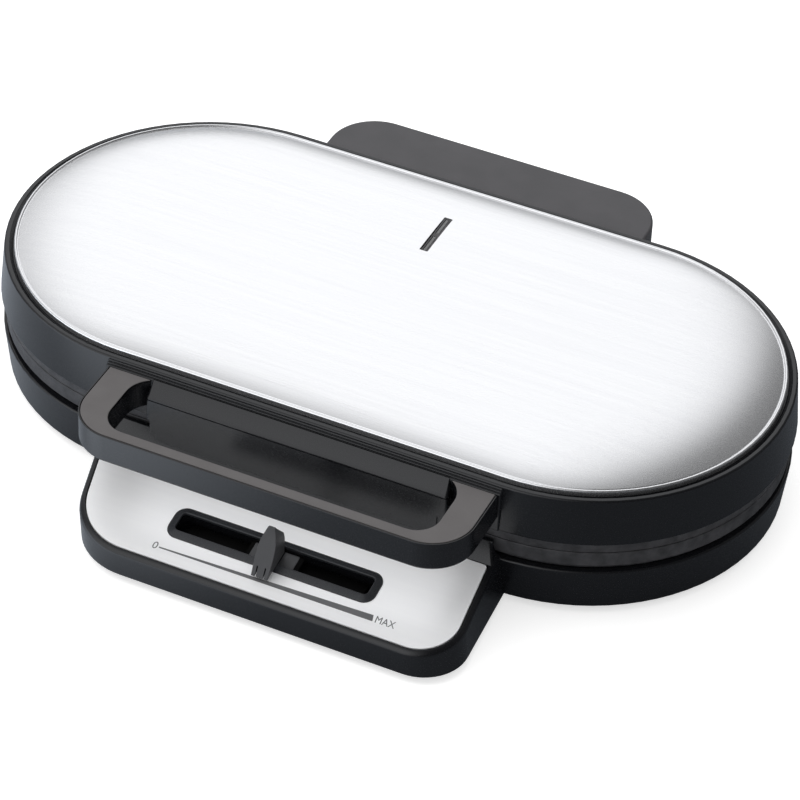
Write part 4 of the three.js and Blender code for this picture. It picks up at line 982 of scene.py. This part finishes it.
def handle():
    """A loop with a cap that lies flush in a thin rim round it."""
    rim, seat = HANDLE_TOP - FINE, HANDLE_TOP - CAP_THICK
    loop = levels(handle_line(0.0, 0.0), HANDLE_BOTTOM, rim, 1.6, CRISP)
    bed = ((0.55, rim), (0.7, rim - 0.15), (0.7, seat))
    loop += [flat(handle_line(away, 0.0), height) for away, height in bed]
    settle(shape("handle_loop", Form().solid(loop), GLOSS), "lid", ["handle_frame"])
    edge = ((0.0, 0.05 - CAP_THICK), (0.0, -0.35), (0.1, -0.1), (0.35, 0.0))
    cap = [flat(handle_line(1.1 + away, 0.05 + away), HANDLE_TOP + rise) for away, rise in edge]
    settle(shape("handle_top", Form().solid(cap), CAP), "lid", ["handle_cap"])


# Hinge


def hood():
    """The cap over the hinge arms, open below."""
    half, back, corner = HOOD_HALF - HOOD_WALL, HOOD_BACK - HOOD_WALL, HOOD_CORNER - HOOD_WALL
    line = rectangle(-HOOD_HALF, HOOD_HALF, HOOD_FRONT, HOOD_BACK, [EDGE, EDGE, HOOD_CORNER, HOOD_CORNER], 14)
    hollow = rectangle(-half, half, HOOD_FRONT + 2.0, back, [EDGE, EDGE, corner, corner], 14)
    form = Form()
    outer = form.skin(levels(line, LID_BOTTOM, HOOD_TOP, EDGE, 1.4))
    inner = form.skin(levels(hollow, LID_BOTTOM, HOOD_TOP - HOOD_WALL, -FINE, SOFT))
    form.fill(outer[-1])
    form.fill(inner[-1])
    form.fill(outer[0], inner[0])
    settle(shape("hinge_cap", form, HOOD), "lid", ["hinge_hood"])


def ear_line():
    """An ear round the pin, with its foot on the block."""
    foot = degrees(acos((BLOCK_BACK - HINGE_Y) / BOSS))
    line = arc(HINGE_Y, HINGE_Z, BOSS, 180, -foot, 20)
    sunk = BLOCK_TOP - 1.0
    return list(reversed(line + [(BLOCK_BACK, sunk), (115.0, sunk)]))


def hinge_block():
    """The block behind the base, hollow below, with two pairs of ears on it."""
    form = Form()
    half, radii = BLOCK_HALF, [FINE, FINE, 1.5, 1.5]
    upper = rectangle(-half, half, BLOCK_FRONT + 1.9, BLOCK_BACK, radii)
    lower = rectangle(-half, half, BLOCK_FRONT, BLOCK_BACK, radii)
    low = levels(lower, 0.0, BASE_HEIGHT - 0.05, 1.2, 0.0)
    high = levels(upper, BASE_HEIGHT, BLOCK_TOP, 0.0, 1.2)
    half -= RECESS
    recess = rectangle(-half, half, BLOCK_FRONT + 4.5, BLOCK_BACK - RECESS, SOFT)
    outer = form.skin(low + high)
    inner = form.skin(levels(recess, 0.0, RECESS_DEPTH, -CRISP, 0.0))
    form.fill(outer[0], inner[0])
    form.fill(inner[-1])
    form.fill(outer[-1])
    for side in (-1, 1):
        for out in (-1, 1):
            near = side * ARM_X + out * ARM_HALF
            form.solid(levels(ear_line(), *sorted((near, near + out * EAR)), 0.6, 0.6, across))
    settle(shape("hinge_base", form, HINGE), "base", ["hinge_block"])


def pins():
    """Two pins with rounded ends, each with a dished head outwards."""
    wide, end = PIN_RADIUS, PIN_END
    profile = [(0, -end), (wide - EDGE, -end), (wide, EDGE - end), (wide, end - 0.7), (4.0, end - 0.4)]
    profile += [(PIN_HEAD, end + 0.1), (PIN_HEAD, PIN_HEAD_END - EDGE), (PIN_HEAD - EDGE, PIN_HEAD_END)]
    profile += [(1.4, PIN_HEAD_END), (1.2, PIN_HEAD_END - 0.4), (0, PIN_HEAD_END - 0.4)]
    for side, label in ((-1, "left"), (1, "right")):
        line = [(radius, side * height) for radius, height in profile]
        form = Form().turned(line, (side * ARM_X, HINGE_Y, HINGE_Z), "X", 28)
        settle(shape("pin_" + label, form, PIN), "base", ["hinge_pin_" + label])


# Feet


def foot(name, x, y, radius):
    """A tapered rubber foot with a dished face, on a stem."""
    top, low, dish = radius * 7.6 / 9, -FOOT_HEIGHT, 0.6 - FOOT_HEIGHT
    profile = [(0, dish), (radius - 3.2, dish), (radius - 2.6, low), (radius - SOFT, low)]
    profile += [(radius - CRISP, low + CRISP), (radius, low + SOFT), (top + FINE, -0.6), (top, -FINE)]
    profile += [(FOOT_STEM, -FINE), (FOOT_STEM, 2.0), (0, 2.0)]
    form = Form().turned(profile, (x, y, 0))
    settle(shape(name.replace("foot", "pad"), form, RUBBER), "base", [name])


# Build


STUD_NODES = stud_nodes()
base_shell()
fascia()
scale_print()
bezel()
knob()
carriage()
plate("lower_casting", "base", "lower_plate", 1, 7.9)
plate("upper_casting", "lid", "upper_plate", -1, 5.7)
lid_cover()
lid_shell()
lamp_window()
handle()
hood()
hinge_block()
pins()
for name, x, y, radius in FEET:
    foot(name + "left", -x, y, radius)
    foot(name + "right", x, y, radius)

INSIDE = {
    INNER: ["thermostat_pinion", "thermostat", "terminal_block", "lamp_holder"],
    HEATER: ["lower_heating_element", "upper_heating_element"],
    SHEET: ["lower_heat_shield", "upper_heat_shield"],
    PIN: ["thermal_fuse", "shield_screw_1", "shield_screw_2", "shield_screw_3", "shield_screw_4"],
    HINGE: ["hinge_block_cover", "hinge_arm_left", "hinge_arm_right"],
    RUBBER: ["inlet_bush"],
    RACK: ["slider_carriage"],
}
for look, names in INSIDE.items():
    for name in names:
        frame["nodes"][name].data.materials.clear()
        frame["nodes"][name].data.materials.append(look)


# Stage, camera and light


def floor():
    """White paper. In reflections it is brightest at the front left and darkens to the right."""
    made = bpy.data.meshes.new("floor")
    made.from_pydata([(-6, -6, 0), (6, -6, 0), (6, 6, 0), (-6, 6, 0)], [], [(0, 1, 2, 3)])
    paper = bpy.data.materials.new("paper")
    tree = empty_tree(paper)
    tone = mottle(tree, noise(tree, 400.0, detail=2.0), (0.8, 0.8, 0.8), (0.82, 0.82, 0.82))
    path = node(tree, "ShaderNodeLightPath").outputs
    glossy, direct = path["Is Glossy Ray"], path["Is Camera Ray"]
    place = node(tree, "ShaderNodeTexCoord").outputs["Object"]
    x, y = node(tree, "ShaderNodeSeparateXYZ", Vector=place).outputs[:2]
    mirrored = tint(tree, ramp(tree, x, -0.1, 0.2, 1.0, 0.3), (0, 0, 0), (0.52, 0.57, 0.64))
    colour = node(tree, "ShaderNodeMix", {"data_type": "RGBA"}, _0=glossy, _6=tone, _7=mirrored).outputs[2]
    dull = node(tree, "ShaderNodeBsdfDiffuse", Color=colour).outputs[0]
    left, ahead = ramp(tree, x, -0.14, 0.02, 1.5, 0.0), ramp(tree, y, -0.2, -0.12, 1.0, 0.0)
    spot = calculate(tree, "MULTIPLY", left, ahead)
    level = calculate(tree, "MULTIPLY_ADD", glossy, spot, calculate(tree, "MULTIPLY", direct, 0.6))
    cool = tint(tree, glossy, (1, 1, 1), (0.84, 0.91, 1))
    glow = node(tree, "ShaderNodeEmission", Color=cool, Strength=level).outputs[0]
    both = node(tree, "ShaderNodeAddShader", _0=dull, _1=glow).outputs[0]
    node(tree, "ShaderNodeOutputMaterial", Surface=both)
    made.materials.append(paper)
    new_object("floor", made)


def camera():
    """The camera of the picture: long lens, 23 degrees to the right and 40 above, slightly rolled."""
    lens = bpy.data.cameras.new("camera")
    lens.sensor_fit = "HORIZONTAL"
    lens.sensor_width = 36
    focal_pixels, picture_pixels = 3647.46, 800
    lens.lens = lens.sensor_width * focal_pixels / picture_pixels
    lens.clip_end = 20
    azimuth, elevation, roll = 23.39, 40.02, 2.54
    aside, below, distance, centre = 2.98, -36.12, 1763.15, Vector((0, 0, 50))
    turn = Euler((radians(90 - elevation), 0, radians(azimuth))).to_matrix()
    turn = turn @ Matrix.Rotation(radians(roll), 3, "Z")
    place = row(centre + turn @ Vector((aside, below, distance)))
    scene.camera = new_object("camera", lens)
    scene.camera.matrix_world = Matrix.Translation(place) @ turn.to_4x4()


def toward(tree, direction, start, end, low, high):
    """A value that goes from low to high as the direction seen comes round to direction."""
    seen = node(tree, "ShaderNodeTexCoord").outputs["Generated"]
    aim = Vector(direction).normalized()
    along = node(tree, "ShaderNodeVectorMath", {"operation": "DOT_PRODUCT"}, _0=seen, _1=aim)
    return ramp(tree, along.outputs["Value"], start, end, low, high)


def world():
    """A pale tent, white for the camera. What reflects sees it bright at the back left and front left."""
    made = bpy.data.worlds.new("tent")
    tree = empty_tree(made)
    right, rear, up = (1, 0, 0), (0, 1, 0), (0, 0, 1)
    level = toward(tree, right, -0.2, 0.14, 1.2, 0.16)
    for share in ((right, -0.75, -0.45, 0.6, 1.0), (rear, 0.0, 0.35, 0.4, 1.0), (up, 0.0, 0.3, 0.2, 1.0)):
        level = calculate(tree, "MULTIPLY", level, toward(tree, *share))
    front = toward(tree, (-0.45, -0.75, 0.35), 0.55, 0.95, 0.0, 1.0)
    path = node(tree, "ShaderNodeLightPath").outputs
    glossy, direct = path["Is Glossy Ray"], path["Is Camera Ray"]

    def tent(colour, strength):
        return node(tree, "ShaderNodeBackground", Color=colour, Strength=strength).outputs[0]

    inner = tent((0.97, 0.98, 1, 1), calculate(tree, "ADD", level, front))
    lit = node(tree, "ShaderNodeMixShader", _0=glossy, _1=tent((1, 1, 1, 1), 0.62), _2=inner).outputs[0]
    shown = node(tree, "ShaderNodeMixShader", _0=direct, _1=lit, _2=tent((1, 1, 1, 1), 1.0)).outputs[0]
    node(tree, "ShaderNodeOutputWorld", Surface=shown)
    scene.world = made


def lamp(name, place, size, power):
    """A soft panel that shines on the middle of the piece and isn't mirrored in it."""
    light = bpy.data.lights.new(name, "AREA")
    light.shape = "RECTANGLE"
    light.size, light.size_y = size
    light.energy = power
    thing = new_object(name, light)
    thing.location = place
    thing.rotation_euler = (Vector((0, 0, 0.05)) - Vector(place)).to_track_quat("-Z", "Y").to_euler()
    thing.visible_glossy = False


scene.view_settings.view_transform = "Standard"
floor()
camera()
world()
lamp("key", (-0.7, 0.2, 1.7), (2.4, 2.4), 20)
lamp("left_wall", (-1.6, -0.5, 0.5), (0.8, 1.4), 8)
